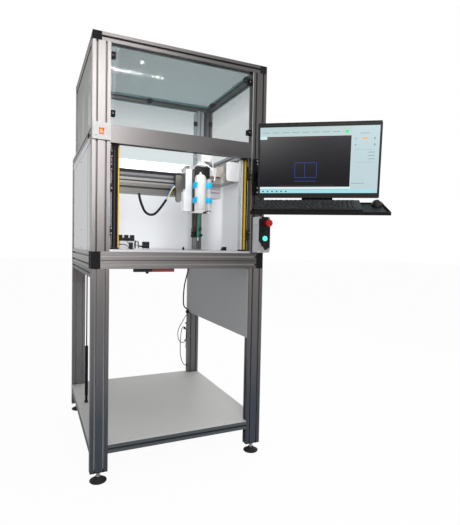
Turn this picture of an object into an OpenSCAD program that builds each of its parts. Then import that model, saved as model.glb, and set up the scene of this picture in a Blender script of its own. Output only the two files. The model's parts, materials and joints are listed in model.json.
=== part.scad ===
// Free-standing dispensing cell: slotted aluminium frame, guarded top box, three axis gantry,
// dispensing head, operator arm with monitor and keyboard tray. Origin on the floor, at the centre
// of the frame's footprint. X to the right, Y to the back, Z up.

/* [Frame] */
// Width of the frame over its posts
frame_w = 880; // [860:10:960]
// Depth of the lower section
frame_d = 1000; // [980:10:1100]
// Depth of the guarded top box
box_d = 790; // [780:10:840]
// Side of one profile module
bar = 40; // [38:1:42]
// Height of the legs' lower ends over the floor
foot_h = 50; // [46:1:80]
// Length of the legs
leg_len = 940; // [900:10:1000]
// Length of the front posts
post_len = 940; // [900:10:1000]
// Height of the cross-beam's top edge over the middle frame
beam_up = 575; // [560:5:620]
// Height of the shelf rails over the legs' lower ends
shelf_up = 80; // [40:10:300]
// Distance of the inner rear posts from the frame's side
inner_in = 108; // [100:1:115]

/* [Profile slots] */
// Width of the slot's mouth
slot_w = 8.2; // [6:0.1:10]
// Thickness of the slot's lips
slot_lip = 4.5; // [3:0.5:5]
// Width of the slot's inner room
slot_room = 20; // [16:1:22]
// Depth of the slot
slot_depth = 12; // [10:0.5:13]

/* [Plates and panels] */
// Thickness of the table plate
deck_t = 10; // [8:1:15]
// Thickness of the shelf and of the white sheets
sheet_t = 3; // [2:0.5:4]
// Thickness of the clear panels
glass_t = 4; // [3:0.5:6]
// Distance of sheets and side panels from the frame's outer face
sheet_in = 6; // [4:1:10]
// Thickness of the leg end caps
cap_t = 4; // [3:0.5:8]
// Height of the grey plate on the right legs
apron_h = 366; // [300:1:400]

/* [Levelling feet] */
// Radius of a foot pad
pad_r = 39; // [30:1:45]
// Height of a foot pad
pad_h = 24; // [18:1:28]
// Radius of a foot spindle
spindle_r = 6; // [5:0.5:7]

/* [Gantry] */
// Distance of the Y beams' front ends from the frame's front
ybeam_in = 295; // [280:5:330]
// Distance of the Y beams' rear ends from the frame's back
ybeam_rear = 65; // [55:5:100]
// Height of a Y beam
ybeam_h = 110; // [90:5:120]
// Width of a Y beam
ybeam_w = 58; // [50:1:58]
// Front face of the X module
module_y = -100; // [-110:5:-80]
// Depth of the X module
module_d = 90; // [80:5:100]
// Height of the X module
module_h = 116; // [110:2:130]
// Height of the X module's lower edge over the table
module_up = 377; // [360:1:390]
// Height of the support profile under the X module
support_h = 65; // [50:1:80]
// Depth of the guide grooves
groove_d = 12; // [8:1:14]
// Left face of the Z housing
z_left = 110; // [100:1:120]
// Width of the Z housing
z_w = 40; // [36:1:50]
// Height of the Z housing
z_h = 240; // [200:5:260]

/* [Dispensing head] */
// Distance of the cartridge's axis from the middle plane
head_x = 171; // [168:1:176]
// Distance of the cartridge's axis behind the frame's middle
head_y = -250; // [-256:1:-248]
// Radius of the cartridge
cart_r = 31; // [28:1:33]
// Length of the cartridge's barrel
cart_len = 186; // [160:1:200]
// Radius of the clear cylinder
vial_r = 15; // [12:1:16]
// Distance between the cartridge and the clear cylinder
vial_web = 4; // [2.5:0.5:6]
// Radius of the static mixer
mixer_r = 6.5; // [4:0.5:7]
// Length of the static mixer with its tip
mixer_len = 138; // [110:1:150]

/* [Operator arm and monitor] */
// Length of each arm link between its pins
link_len = 200; // [180:5:240]
// Angle of the lower link from the X axis
link1_turn = -27; // [-35:1:-15]
// Angle of the upper link from the X axis
link2_turn = -105; // [-115:1:-95]
// Radius of the arm's pins
pin_r = 8; // [6:0.5:10]
// Width of the monitor
monitor_w = 540; // [480:10:560]
// Height of the monitor
monitor_h = 328; // [300:1:340]
// Turn of the monitor about the vertical
monitor_turn = -34; // [-45:1:-20]
// Forward tilt of the monitor
monitor_tilt = 8; // [0:1:12]
// Width of the keyboard tray
tray_w = 545; // [520:5:600]
// Depth of the keyboard tray
tray_d = 238; // [220:1:260]

/* [Controls] */
// Width of the control station
station_w = 66; // [60:1:74]
// Height of the control station
station_h = 185; // [180:1:200]
// Depth of the control station's box
station_d = 65; // [50:1:80]
// Radius of the emergency stop's cap
stop_r = 18; // [15:1:20]
// Radius of the green lit button
start_r = 13; // [10:0.5:14]
// Radius of the black buttons
small_r = 9; // [7:0.5:10]

/* [Fits] */
// Gap between parts that move or lie next to each other
gap = 0.3; // [0.3:0.05:0.4]
// Radial play of a pin in its bore
play = 0.05; // [0.02:0.01:0.1]

/* [Hidden] */
$fn = 48;

// Frame levels
half_w = frame_w / 2;
half_d = frame_d / 2;
inner_x = half_w - inner_in;
ybeam_len = frame_d - ybeam_in - ybeam_rear;
front_y = -half_d;
back_y = half_d;
box_back = front_y + box_d;
mid_z = foot_h + leg_len;
deck_z = mid_z + 2 * bar;
table_z = deck_z + deck_t;
post_top = deck_z + post_len;
beam_top = deck_z + beam_up;
loop_z = beam_top - bar;
shelf_z = foot_h + shelf_up;
post_in = half_w - 2 * bar;
core_w = 16;
core_h = 24;
bore_w = 7;

// Gantry levels
groove_h = 30;
beam_x = inner_x + bar;
hanger_t = 10;
hanger_l = 60;
ybeam_top = loop_z - hanger_t;
ybeam_mid = ybeam_top - ybeam_h / 2;
ybeam_front = front_y + ybeam_in;
module_z = table_z + module_up;
module_top = module_z + module_h;
module_back = module_y + module_d;
track_h = 12;
track_z = module_z + 51;
span = inner_x + bar - hanger_t - 2;
carriage_t = 11.7;
plate_t = 12;
z_back = module_y - plate_t;
z_depth = 58;
z_front = z_back - z_depth;
z_low = table_z + 220;
z_top = z_low + z_h;

// Head levels
base_z = table_z + 204;
base_t = 8;
seat_z = base_z + base_t;
slide_x = z_left + z_w;
slide_t = 10;
head_back = head_y + 58;
block_z = seat_z + 198;
drive_x = slide_x + gap + slide_t;
block_h = 62;
block_front = head_y + cart_r + 4;
vial_x = head_x + cart_r + vial_r + vial_web;
clip_t = 6;
clip_h = 28;
tip_turn = 214;
seat_t = 10;

// Arm levels
eye_h = 40;
fork_t = 10;
arm_z = table_z + 370;
shoulder = [half_w - 38, front_y - 60];
elbow = shoulder + link_len * [cos(link1_turn), sin(link1_turn)];
wrist = elbow + link_len * [cos(link2_turn), sin(link2_turn)];
eye_r = 22;
tilt_y = 36;
tilt_r = 5;
tilt_w = 40;
tray_y = -73;
tray_z = -152;
hinge_r = 6;
hinge_pin = 3;

// Control station
station_x = half_w + 1 - station_w;
station_z = deck_z + 5;
face_t = 6;
face_y = front_y - station_d - face_t;
stop_at = [half_w - 25, station_z + 151];
reset_at = [half_w - 36, station_z + 111];
start_at = [half_w - 33, station_z + 73];
halt_at = [half_w - 44, station_z + 41];
stop_rise = 40;
stop_neck = 14;
stop_stem = 8;

// Cord points
cable_r = 4.5;
lead_r = 2;
drag_r = 6.5;
wire_r = 1.6;
corner = [post_in, back_y, 0];
cable_path = [for (p = [[-8, -60, 1061.6], [-8, -60, 1040], [-9, -60, 990], [-12, -60, 934],
    [-26, -60, 875], [-39, -60, 818], [-45, -60, 750], [-45, -60, 688], [-38, -60, 662],
    [-24, -60, 648], [-15.5, -60, 641], [-15, -60, 632.5]]) corner + p];
lead_path = [for (p = [[-15, -60, 613.5], [-16, -60, 606], [-30, -59, 588], [-52, -58, 548],
    [-74, -57, 510], [-83, -56, 470], [-76, -54, 425], [-55, -52, 400], [-30, -50, 403],
    [-14, -50, 435], [-16, -50, 480], [-32, -53, 512], [-52, -60, 505], [-62, -65, 465],
    [-66, -66, 410], [-66, -66, 350], [-61, -64, 300], [-46, -58, 258], [-26, -44, 232],
    [-14, -34, 226], [-8.4, -32, 226]]) corner + p];
drag_path = [[-136, -94, 1391.7], [-134, -94, 1375], [-126, -93, 1345], [-107, -95, 1300],
    [-89, -100, 1281], [-69, -105, 1275], [-50, -109, 1279], [-34, -112, 1292], [-7, -116, 1327],
    [17, -118, 1365]];
wire_path = [[14, -118, 1360], [24, -119, 1378], [35, -120, 1405], [50, -121, 1432], [58, -121, 1441],
    [65.6, -121, 1442]];
hose_path = [[155, -176, 1530], [155, -177, 1538], [155, -190, 1552], [163, -218, 1560],
    [182, -238, 1561], [207, -248, 1556], [232, -252, 1541], [250, -252, 1515], [257, -251, 1490],
    [253, -250, 1472], [246, -250, 1468], [240, -250, 1468]];
tube_path = [[251.3, -182, 1625], [257, -182, 1625], [264, -184, 1617], [268, -188, 1590],
    [269, -190, 1555], [265, -188, 1525], [256, -184, 1512], [248, -182, 1510], [240.3, -182, 1510]];

// One slot, cut from the edge at y = 0 down into the profile
module slot_mouth() {
    lip = slot_room / 2;
    foot = slot_w / 2;
    polygon([[-foot, 1], [-foot, -slot_lip], [-lip, -slot_lip], [-lip, -slot_lip - lip / 4],
        [-foot, -slot_depth], [foot, -slot_depth], [lip, -slot_lip - lip / 4],
        [lip, -slot_lip], [foot, -slot_lip], [foot, 1]]);
}

// Cross-section of a slotted profile of cols by rows modules; plain leaves the left face closed
module section(cols, rows, plain = false) {
    difference() {
        square([cols * bar, rows * bar]);
        for (i = [0:cols - 1]) {
            translate([(i + 0.5) * bar, 0]) rotate(180) slot_mouth();
            translate([(i + 0.5) * bar, rows * bar]) slot_mouth();
        }
        for (j = [0:rows - 1]) {
            if (!plain) translate([0, (j + 0.5) * bar]) rotate(90) slot_mouth();
            translate([cols * bar, (j + 0.5) * bar]) rotate(-90) slot_mouth();
        }
        for (i = [0:cols - 1], j = [0:rows - 1])
            translate([(i + 0.5) * bar, (j + 0.5) * bar]) square(bore_w, center = true);
        if (cols > 1) translate([bar, bar / 2]) square([core_w, core_h], center = true);
        if (rows > 1) translate([bar / 2, bar]) square([core_h, core_w], center = true);
    }
}

module bar_x(cols, rows, len, plain = false) {
    rotate([90, 0, 90]) linear_extrude(len) section(cols, rows, plain);
}

module bar_y(cols, rows, len) {
    translate([0, len, 0]) rotate([90, 0, 0]) linear_extrude(len) section(cols, rows);
}

module bar_z(cols, rows, len) {
    linear_extrude(len) section(cols, rows);
}

module both() {
    children();
    mirror([1, 0, 0]) children();
}

module corners() {
    both() for (y = [front_y, back_y - bar]) translate([post_in, y, 0]) children();
}

module slab(x0, x1, y0, y1, z0, z1) {
    translate([x0, y0, z0]) cube([x1 - x0, y1 - y0, z1 - z0]);
}

module rounded(w, h, r) {
    offset(r, $fn = 24) square([w - 2 * r, h - 2 * r], center = true);
}

function unit(v) = v / norm(v);

// Round tube swept along points, with flat ends
module cord(path, r, sides = 10) {
    n = len(path);
    tangents = [for (i = [0:n - 1]) unit(path[min(i + 1, n - 1)] - path[max(i - 1, 0)])];
    points = [for (i = [0:n - 1])
        let (t = tangents[i],
            side = unit(cross(t, abs(t.y) < 0.9 ? [0, 1, 0] : [1, 0, 0])),
            up = cross(side, t))
        for (k = [0:sides - 1])
            path[i] + r * (cos(360 * k / sides) * side + sin(360 * k / sides) * up)];
    skin = [for (i = [0:n - 2], k = [0:sides - 1])
        let (a = i * sides + k, b = i * sides + (k + 1) % sides)
        [a, a + sides, b + sides, b]];
    first = [for (k = [0:sides - 1]) k];
    last = [for (k = [sides - 1:-1:0]) (n - 1) * sides + k];
    polyhedron(points, concat([first], skin, [last]), convexity = 8);
}

// Points of a smooth curve through the given ones
function curve(p, steps) = concat([for (i = [0:len(p) - 2], s = [0:steps - 1])
    let (a = p[max(i - 1, 0)], b = p[i], c = p[i + 1], d = p[min(i + 2, len(p) - 1)], t = s / steps)
    0.5 * ((2 * b) + (c - a) * t + (2 * a - 5 * b + 4 * c - d) * t * t
        + (3 * b - a - 3 * c + d) * t * t * t)], [p[len(p) - 1]]);

module legs() {
    color([0.55, 0.5, 0.48]) corners() translate([0, 0, foot_h]) bar_z(2, 1, leg_len);
}

module frame_caps() {
    color([0.1, 0.1, 0.1]) {
        corners() translate([0, 0, foot_h - cap_t]) difference() {
            cube([2 * bar, bar, cap_t]);
            translate([bar, bar / 2, -1]) cylinder(r = spindle_r + gap, h = cap_t + 2);
        }
        both() for (y = [front_y, back_y - bar])
            translate([half_w - bar, y, mid_z]) cap_block(2 * bar);
        both() for (y = [front_y, box_back - bar])
            translate([half_w - bar, y, post_top]) cap_block(bar);
    }
}

// Moulded corner block with softened upright edges
module cap_block(h) {
    linear_extrude(h) translate([bar / 2, bar / 2]) rounded(bar, bar, 1.5);
}

module levelling_feet() {
    color([0.12, 0.12, 0.12]) corners() translate([bar, bar / 2, 0]) {
        rotate_extrude() polygon([[0, 0], [pad_r - 2, 0], [pad_r, 2], [pad_r, 5],
            [pad_r - 8, 9], [15, pad_h - 5], [13, pad_h], [0, pad_h]]);
        translate([0, 0, pad_h]) cylinder(r = spindle_r, h = foot_h - pad_h + 24);
        translate([0, 0, pad_h]) cylinder(r1 = 11, r2 = 9, h = 5);
        translate([0, 0, foot_h - cap_t - 10]) cylinder(r = 11, h = 10, $fn = 6);
    }
}

module lower_rails() {
    color([0.33, 0.35, 0.38]) {
        for (y = [front_y, back_y - bar])
            translate([-post_in, y, shelf_z]) bar_x(1, 1, 2 * post_in);
        both() for (z = [shelf_z, mid_z - bar])
            translate([half_w - bar, front_y + bar, z]) bar_y(1, 1, frame_d - 2 * bar);
    }
}

module shelf_plate() {
    color([0.62, 0.62, 0.6]) translate([0, 0, shelf_z + bar]) linear_extrude(sheet_t) difference() {
        square([frame_w, frame_d - 2], center = true);
        corners() translate([-gap, -1]) square([2 * bar + 2, bar + 1 + gap]);
        for (x = [-1, 1]) translate([x * (half_w - bar), back_y - bar / 2])
            square([2 * bar + 2 * gap, bar + 2 * gap], center = true);
    }
}

module mid_rails() {
    color([0.55, 0.5, 0.48]) {
        for (y = [front_y, back_y - bar])
            translate([bar - half_w, y, mid_z]) bar_x(1, 2, frame_w - 2 * bar);
        both() translate([half_w - bar, front_y + bar, mid_z]) bar_y(1, 2, frame_d - 2 * bar);
    }
}

module table_plate() {
    inset = sheet_in + sheet_t + 1;
    color([0.82, 0.82, 0.83]) translate([0, 0, deck_z]) linear_extrude(deck_t) difference() {
        square([frame_w - 2 * inset, frame_d - 2], center = true);
        for (x = [-1, 1], y = [-1, 1]) translate([x * (half_w - bar), y * (half_d - bar / 2)])
            square([2 * bar + 2 * gap, bar + 2 * gap], center = true);
        translate([0, back_y]) square([2 * post_in, 2 * inset], center = true);
    }
}

module front_posts() {
    color([0.6, 0.56, 0.54]) both() translate([post_in, front_y, deck_z]) bar_z(2, 1, post_len);
}

module rear_posts() {
    color([0.55, 0.5, 0.48]) both() {
        translate([post_in, back_y - bar, deck_z]) bar_z(2, 1, loop_z - deck_z);
        translate([half_w - bar, box_back - bar, beam_top]) bar_z(1, 1, post_top - beam_top);
    }
}

module inner_posts() {
    color([0.5, 0.48, 0.47]) both()
        translate([inner_x, box_back - bar, table_z]) bar_z(1, 2, post_top - table_z);
}

module cross_beam() {
    color([0.6, 0.56, 0.54])
        translate([-post_in, front_y, beam_top - 2 * bar]) bar_x(1, 2, 2 * post_in, true);
}

module loop_rails() {
    color([0.6, 0.57, 0.55]) {
        both() translate([half_w - bar, front_y + bar, loop_z]) bar_y(1, 1, frame_d - bar);
        translate([bar + gap - half_w, back_y - bar, loop_z]) bar_x(1, 1, frame_w - 2 * (bar + gap));
    }
}

module top_rails() {
    color([0.5, 0.46, 0.44]) {
        for (y = [front_y, box_back - bar])
            translate([bar - half_w, y, post_top]) bar_x(1, 1, frame_w - 2 * bar);
        both() translate([half_w - bar, front_y + bar, post_top]) bar_y(1, 1, box_d - 2 * bar);
    }
}

glass_y = front_y + bar / 2;

module front_panel() {
    color([0.7, 0.82, 0.8, 0.35]) slab(gap - post_in, post_in - gap, glass_y - glass_t / 2,
        glass_y + glass_t / 2, beam_top + gap, post_top - gap);
}

roof_z = post_top + bar - 16;

module guard_panels() {
    color([0.7, 0.8, 0.78, 0.5]) {
        both() slab(half_w - sheet_in - glass_t, half_w - sheet_in, front_y + bar + gap,
            box_back - bar - gap, beam_top + gap, post_top - gap);
        slab(gap - inner_x, inner_x - gap, box_back - bar / 2 - glass_t / 2,
            box_back - bar / 2 + glass_t / 2, loop_z, post_top - gap);
        slab(bar + gap - half_w, half_w - bar - gap, front_y + bar + gap,
            box_back - bar - gap, roof_z, roof_z + glass_t);
    }
}

clamp_w = 22;
clamp_h = 26;

// Two jaws on a post face that hold the front panel between them
module jaw_pair(x, z) {
    for (s = [-1, 1]) translate([x, glass_y + s * (glass_t / 2 + gap + 5), z]) difference() {
        cube([clamp_w, 10, clamp_h], center = true);
        translate([0, s * 5, 0]) rotate([90, 0, 0]) cylinder(r = 4, h = 6, center = true);
    }
}

// Block under the roof panel
module roof_jaw(x, y) {
    translate([x, y, roof_z - gap - clamp_w / 2]) cube([clamp_w, clamp_h, clamp_w], center = true);
}

module panel_clamps() {
    color([0.08, 0.08, 0.08]) {
        for (x = [-1, 1], z = [post_top - 50, beam_top + 55])
            jaw_pair(x * (post_in - clamp_w / 2), z);
        for (x = [-1, 1], y = [front_y + 145, box_back - 150])
            roof_jaw(x * (half_w - bar - clamp_w / 2), y);
        translate([0, box_back - bar - clamp_w / 2, roof_z - gap - clamp_w / 2])
            cube([clamp_h, clamp_w, clamp_w], center = true);
        for (x = [-1, 1], z = [post_top - 85, beam_top + 60])
            translate([x * (inner_x - clamp_w / 2), box_back - bar / 2 - glass_t / 2 - gap - 6, z])
                cube([clamp_w, 12, clamp_h], center = true);
        for (x = [-1, 1], z = [post_top - 80, beam_top + 70])
            translate([x * (half_w - sheet_in - glass_t - gap - 7), box_back - bar - clamp_w / 2, z])
                cube([14, clamp_w, clamp_h], center = true);
    }
}

strip_h = 30;

module lower_sheets() {
    color([0.85, 0.85, 0.86]) {
        both() {
            slab(half_w - sheet_in - sheet_t, half_w - sheet_in, front_y + bar + gap,
                back_y - bar - gap, deck_z, loop_z - strip_h);
            slab(half_w - sheet_in - sheet_t, half_w - 2, front_y + bar + gap,
                back_y - bar - gap, loop_z - strip_h, loop_z);
        }
        slab(gap - post_in, post_in - gap, back_y - sheet_in - sheet_t, back_y - sheet_in,
            deck_z, loop_z);
        difference() {
            slab(-half_w, half_w, box_back + gap, back_y, beam_top, beam_top + sheet_t);
            both() slab(inner_x - gap, inner_x + bar + gap, box_back - bar, box_back + bar + gap,
                beam_top - 1, beam_top + sheet_t + 1);
        }
    }
}

module apron_plate() {
    color([0.6, 0.61, 0.62]) slab(post_in - sheet_t, post_in, front_y + 10, back_y - 10,
        mid_z - 4 - apron_h, mid_z - 4);
}

lead_end = 226;
plug_z = 614;

// Inline connector on the inner face of the grey plate, and the lead's clip on the leg
module cable_fittings() {
    color([0.06, 0.06, 0.06]) {
        translate(corner) {
            slab(-sheet_t - 20, -sheet_t, -72, -46, plug_z, plug_z + 18);
            slab(-8, 0, -39, -25, lead_end - 8, lead_end + 8);
            translate([-8, -60, deck_z - 8]) cylinder(r1 = 9, r2 = 14, h = 8);
        }
    }
}

strut_r = 9;
rod_r = 3.5;
strut_x = 50 - half_w;
strut_y = 98;

module gas_strut() {
    low = shelf_z + bar + sheet_t;
    color([0.08, 0.08, 0.08]) {
        translate([strut_x, strut_y, low]) cylinder(r1 = 11, r2 = 8, h = 14);
        translate([strut_x, strut_y, low + 14]) cylinder(r = 7, h = 28);
        translate([strut_x, strut_y, low + 42]) cylinder(r = strut_r, h = 292);
        translate([strut_x, strut_y, low + 334]) cylinder(r = rod_r, h = mid_z - bar / 2 - low - 334);
        translate([strut_x, strut_y, mid_z - bar / 2]) sphere(r = 8);
        translate([-half_w + bar, strut_y, mid_z - bar / 2]) rotate([0, 90, 0]) cylinder(r = 4, h = 10);
    }
}

module rail_fitting() {
    x = -half_w + 197;
    y = front_y + 14;
    color([0.15, 0.12, 0.12]) {
        slab(x, x + 86, y, y + 26, mid_z - 16, mid_z);
        translate([x + 65, y + 13, mid_z - 24]) cylinder(r = 7, h = 8);
    }
    color([0.5, 0.22, 0.18]) slab(x + 86 + gap, x + 196, y, y + 26, mid_z - 16, mid_z);
}

switch_t = 12;
switch_h = 75;
rocker_w = 22;
rocker_h = 28.4;
rocker_x = -half_w + 39;
rocker_z = beam_top - 37.5;

module switch_plate() {
    color([0.93, 0.92, 0.92]) difference() {
        slab(-half_w, -post_in, front_y - switch_t, front_y, beam_top - switch_h + 2, beam_top + 2);
        translate([rocker_x, front_y - switch_t / 2, rocker_z])
            cube([rocker_w, switch_t + 2, rocker_h + 2 * gap], center = true);
    }
}

// Rocker with arc ends about its pivot and two shallow faces
module rocker() {
    r = rocker_h / 2;
    color([0.85, 0.1, 0.05]) translate([rocker_x, front_y - switch_t / 2 - 1, rocker_z])
        rotate([6, 0, 0]) rotate([0, 90, 0]) linear_extrude(rocker_w - 2 * gap, center = true)
            intersection() {
                circle(r, $fn = 96);
                polygon([[-r, 2], [r, 2], [r, -9], [0, -6.5], [-r, -9]]);
            }
}

curtain_w = 35;
curtain_d = 34;
curtain_h = 488;

// Upright bar with a recessed front window, behind the post at distance reach
module curtain(reach) {
    x = post_in - reach - curtain_w;
    y = front_y + bar + 1;
    difference() {
        slab(x, x + curtain_w, y, y + curtain_d, table_z, table_z + curtain_h);
        slab(x - 1, x + 2, y + 8, y + curtain_d - 8, table_z + 25, table_z + curtain_h - 25);
    }
    for (z = [60, 400]) {
        slab(x + curtain_w, post_in + 2, y + 3, y + 28, table_z + z, table_z + z + 45);
        slab(post_in + 2, post_in + 26, y - 1, y + 3, table_z + z, table_z + z + 45);
        slab(post_in - 1, post_in + 2, y - 1, y + 3, table_z + z, table_z + z + 45);
    }
}

module light_curtains() {
    color([0.12, 0.12, 0.12]) {
        curtain(1);
        mirror([1, 0, 0]) curtain(13);
    }
}

module station_outline(inset) {
    w = station_w - 2 * inset;
    h = station_h - 2 * inset;
    c = 14;
    translate([station_x + inset, station_z + inset])
        polygon([[0, c], [c, 0], [w - c, 0], [w, c], [w, h - c], [w - c, h], [c, h], [0, h - c]]);
}

// Rounded pocket for a button, drilled from the front face
module button_well(at, r, depth) {
    translate([at.x, face_y - 1, at.y]) rotate([-90, 0, 0]) cylinder(r = r, h = depth + 1);
}

module wells(depth) {
    button_well(stop_at, stop_stem + gap, depth);
    button_well(reset_at, small_r + gap, depth);
    button_well(start_at, start_r + gap, depth);
    button_well(halt_at, small_r - 1 + gap, depth);
}

module control_box() {
    color([0.75, 0.75, 0.76]) difference() {
        slab(station_x, station_x + station_w, front_y - station_d, front_y, station_z,
            station_z + station_h);
        wells(face_t + 20);
    }
}

module control_plate() {
    color([0.1, 0.1, 0.1]) difference() {
        union() {
            translate([0, front_y - station_d, 0]) rotate([90, 0, 0])
                linear_extrude(face_t) station_outline(1);
            for (b = [[start_at, start_r], [reset_at, small_r], [halt_at, small_r - 1]])
                translate([b[0].x, face_y, b[0].y]) rotate([90, 0, 0])
                    cylinder(r = b[1] + 3, h = 4);
            translate([stop_at.x, face_y, stop_at.y]) rotate([90, 0, 0])
                cylinder(r1 = stop_r - 1, r2 = stop_r - 4, h = stop_neck);
        }
        translate([0, -stop_neck, 0]) wells(face_t + stop_neck + 25);
    }
}

// Cap that slides in its well; rise is how far it stands out of the collar
module push_cap(at, r, rise) {
    translate([at.x, face_y - 4 - rise, at.y]) rotate([-90, 0, 0]) {
        cylinder(r1 = r - 1, r2 = r, h = 1);
        translate([0, 0, 1]) cylinder(r = r, h = rise + face_t + 8);
    }
}

module estop_button() {
    color([0.85, 0.1, 0.08]) translate([stop_at.x, face_y - stop_rise, stop_at.y]) rotate([-90, 0, 0]) {
        rotate_extrude() polygon([[0, 0], [stop_r - 5, 0], [stop_r - 1, 2], [stop_r, 6],
            [stop_r, 11], [stop_r - 4, 15], [0, 15]]);
        cylinder(r = stop_stem, h = stop_rise + 12);
    }
}

module start_button() {
    color([0.1, 0.8, 0.6]) push_cap(start_at, start_r, 5);
}

module reset_button() {
    color([0.08, 0.08, 0.08]) push_cap(reset_at, small_r, 4);
}

module stop_button() {
    color([0.08, 0.08, 0.08]) push_cap(halt_at, small_r - 1, 4);
}

// Upright section of a Y beam; the guide groove opens towards the machine's middle
module ybeam_section() {
    difference() {
        square([ybeam_w, ybeam_h]);
        translate([-1, (ybeam_h - groove_h) / 2]) square([groove_d + 1, groove_h]);
        translate([ybeam_w, ybeam_h / 4]) rotate(-90) slot_mouth();
        translate([ybeam_w, ybeam_h * 3 / 4]) rotate(-90) slot_mouth();
        translate([ybeam_w / 2, 0]) rotate(180) slot_mouth();
        translate([30, ybeam_h / 2 - 6]) square([14, 12]);
    }
}

module gantry_beams() {
    color([0.6, 0.6, 0.6]) both() {
        translate([beam_x, ybeam_front + ybeam_len, ybeam_top - ybeam_h])
            rotate([90, 0, 0]) linear_extrude(ybeam_len) ybeam_section();
        for (k = [0.12, 0.5, 0.88]) slab(half_w - bar, beam_x + ybeam_w,
            ybeam_front + k * ybeam_len - hanger_l / 2, ybeam_front + k * ybeam_len + hanger_l / 2,
            ybeam_top, loop_z);
    }
}

cover_t = 12;
cover_in = 26;

module beam_covers() {
    color([0.9, 0.9, 0.9]) both() for (y = [ybeam_front, ybeam_front + ybeam_len + cover_t])
        translate([beam_x + (ybeam_w - cover_in) / 2, y, ybeam_mid]) rotate([90, 0, 0])
            linear_extrude(cover_t) rounded(ybeam_w + cover_in, ybeam_h, 14);
}

module terminal_block() {
    x = -284;
    y = -310;
    foot = 42;
    tall = 72;
    deep = 30;
    tooth = 18;
    notch = 12;
    color([0.8, 0.8, 0.8]) slab(x + 4, x + tooth * 3 + notch * 2 - 4, y + 2, y + deep - 2, table_z,
        table_z + foot);
    color([0.1, 0.1, 0.1]) difference() {
        slab(x, x + tooth * 3 + notch * 2, y, y + deep, table_z + foot, table_z + tall);
        for (k = [0, 1]) translate([x + tooth + k * (tooth + notch), y - 1, table_z + tall - 14])
            cube([notch, deep + 2, tall]);
    }
}

module sensor_unit() {
    x = -208;
    y = -312;
    color([0.7, 0.7, 0.7]) {
        slab(x, x + 84, y, y + 34, table_z, table_z + 5);
        translate([x + 16, y + 17, table_z + 5]) cylinder(r = 13, h = 34);
        translate([x + 16, y + 17, table_z + 39]) cylinder(r = 9, h = 6);
    }
    color([0.08, 0.08, 0.08]) {
        slab(x + 48, x + 80, y + 2, y + 32, table_z + 5, table_z + 40);
        translate([x + 28, y + 17, table_z + 16]) rotate([0, 90, 0]) cylinder(r = 4, h = 20);
    }
}

module table_stops() {
    color([0.08, 0.08, 0.08]) {
        translate([60, -300, table_z]) cylinder(r = 6, h = 12);
        translate([60, -300, table_z + 12]) cylinder(r = 4, h = 5);
        translate([280, -290, table_z]) rotate([90, 0, 0])
            linear_extrude(24) polygon([[0, 0], [29, 0], [29, 21], [12, 21]]);
    }
}

module arm_base() {
    x0 = half_w - 68;
    color([0.12, 0.12, 0.12]) {
        slab(x0, x0 + 60, front_y - 8, front_y, arm_z - 75, arm_z + 113);
        difference() {
            for (z = [arm_z - fork_t, arm_z + eye_h]) hull() {
                translate([shoulder.x, shoulder.y, z]) cylinder(r = eye_r, h = fork_t, $fn = 32);
                translate([x0 + 8, front_y - 10, z]) cube([44, 2, fork_t]);
            }
            translate([shoulder.x, shoulder.y, arm_z - 20]) cylinder(r = pin_r, h = eye_h + 40);
        }
        translate([shoulder.x, shoulder.y, arm_z - fork_t]) cylinder(r = pin_r, h = eye_h + 2 * fork_t);
    }
}

// Arm link: eye with a bore at its start, fork with a pin at its far end
module arm_link() {
    difference() {
        union() {
            translate([0, 0, gap]) linear_extrude(eye_h - 2 * gap) hull() {
                circle(eye_r - 1, $fn = 48);
                translate([link_len - 52, 0]) circle(eye_r - 4, $fn = 48);
            }
            for (z = [-fork_t, eye_h - gap]) translate([0, 0, z]) linear_extrude(fork_t + gap) hull() {
                translate([link_len - 70, 0]) circle(eye_r - 6, $fn = 48);
                translate([link_len, 0]) circle(eye_r - 4, $fn = 48);
            }
        }
        translate([0, 0, -1]) cylinder(r = pin_r + play, h = eye_h + 2);
    }
    translate([link_len, 0, -fork_t]) cylinder(r = pin_r, h = eye_h + 2 * fork_t);
}

module lower_link() {
    color([0.2, 0.2, 0.21]) translate([shoulder.x, shoulder.y, arm_z]) rotate(link1_turn) arm_link();
}

module upper_link() {
    color([0.2, 0.2, 0.21]) translate([elbow.x, elbow.y, arm_z]) rotate(link2_turn) arm_link();
}

// Frame of the swivel head: local -Y is the way the screen faces
module at_wrist() {
    translate([wrist.x, wrist.y, arm_z + eye_h / 2]) rotate(monitor_turn) children();
}

// Frame of the tilting parts
module at_tilt() {
    at_wrist() translate([0, -tilt_y, 0]) rotate([monitor_tilt, 0, 0]) children();
}

module at_tray() {
    at_tilt() translate([0, tray_y, tray_z]) rotate([monitor_tilt, 0, 0]) children();
}

module head_swivel() {
    h = eye_h / 2 - gap;
    color([0.2, 0.2, 0.21]) at_wrist() difference() {
        union() {
            translate([0, 0, -h]) cylinder(r = eye_r - 4, h = 2 * h);
            slab(-14, 14, -tilt_y, -12, -10, 10);
            translate([0, -tilt_y, 0]) rotate([0, 90, 0])
                cylinder(r = 10, h = tilt_w, center = true);
        }
        translate([0, 0, -h - 1]) cylinder(r = pin_r + play, h = 2 * h + 2);
        translate([0, -tilt_y, 0]) rotate([0, 90, 0])
            cylinder(r = tilt_r + play, h = tilt_w + 2, center = true);
    }
}

plate_y = -16;
vesa = 100;
strap_w = 140;
knuckle_l = 25;
knuckle_x = (strap_w - knuckle_l) / 2;

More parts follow.
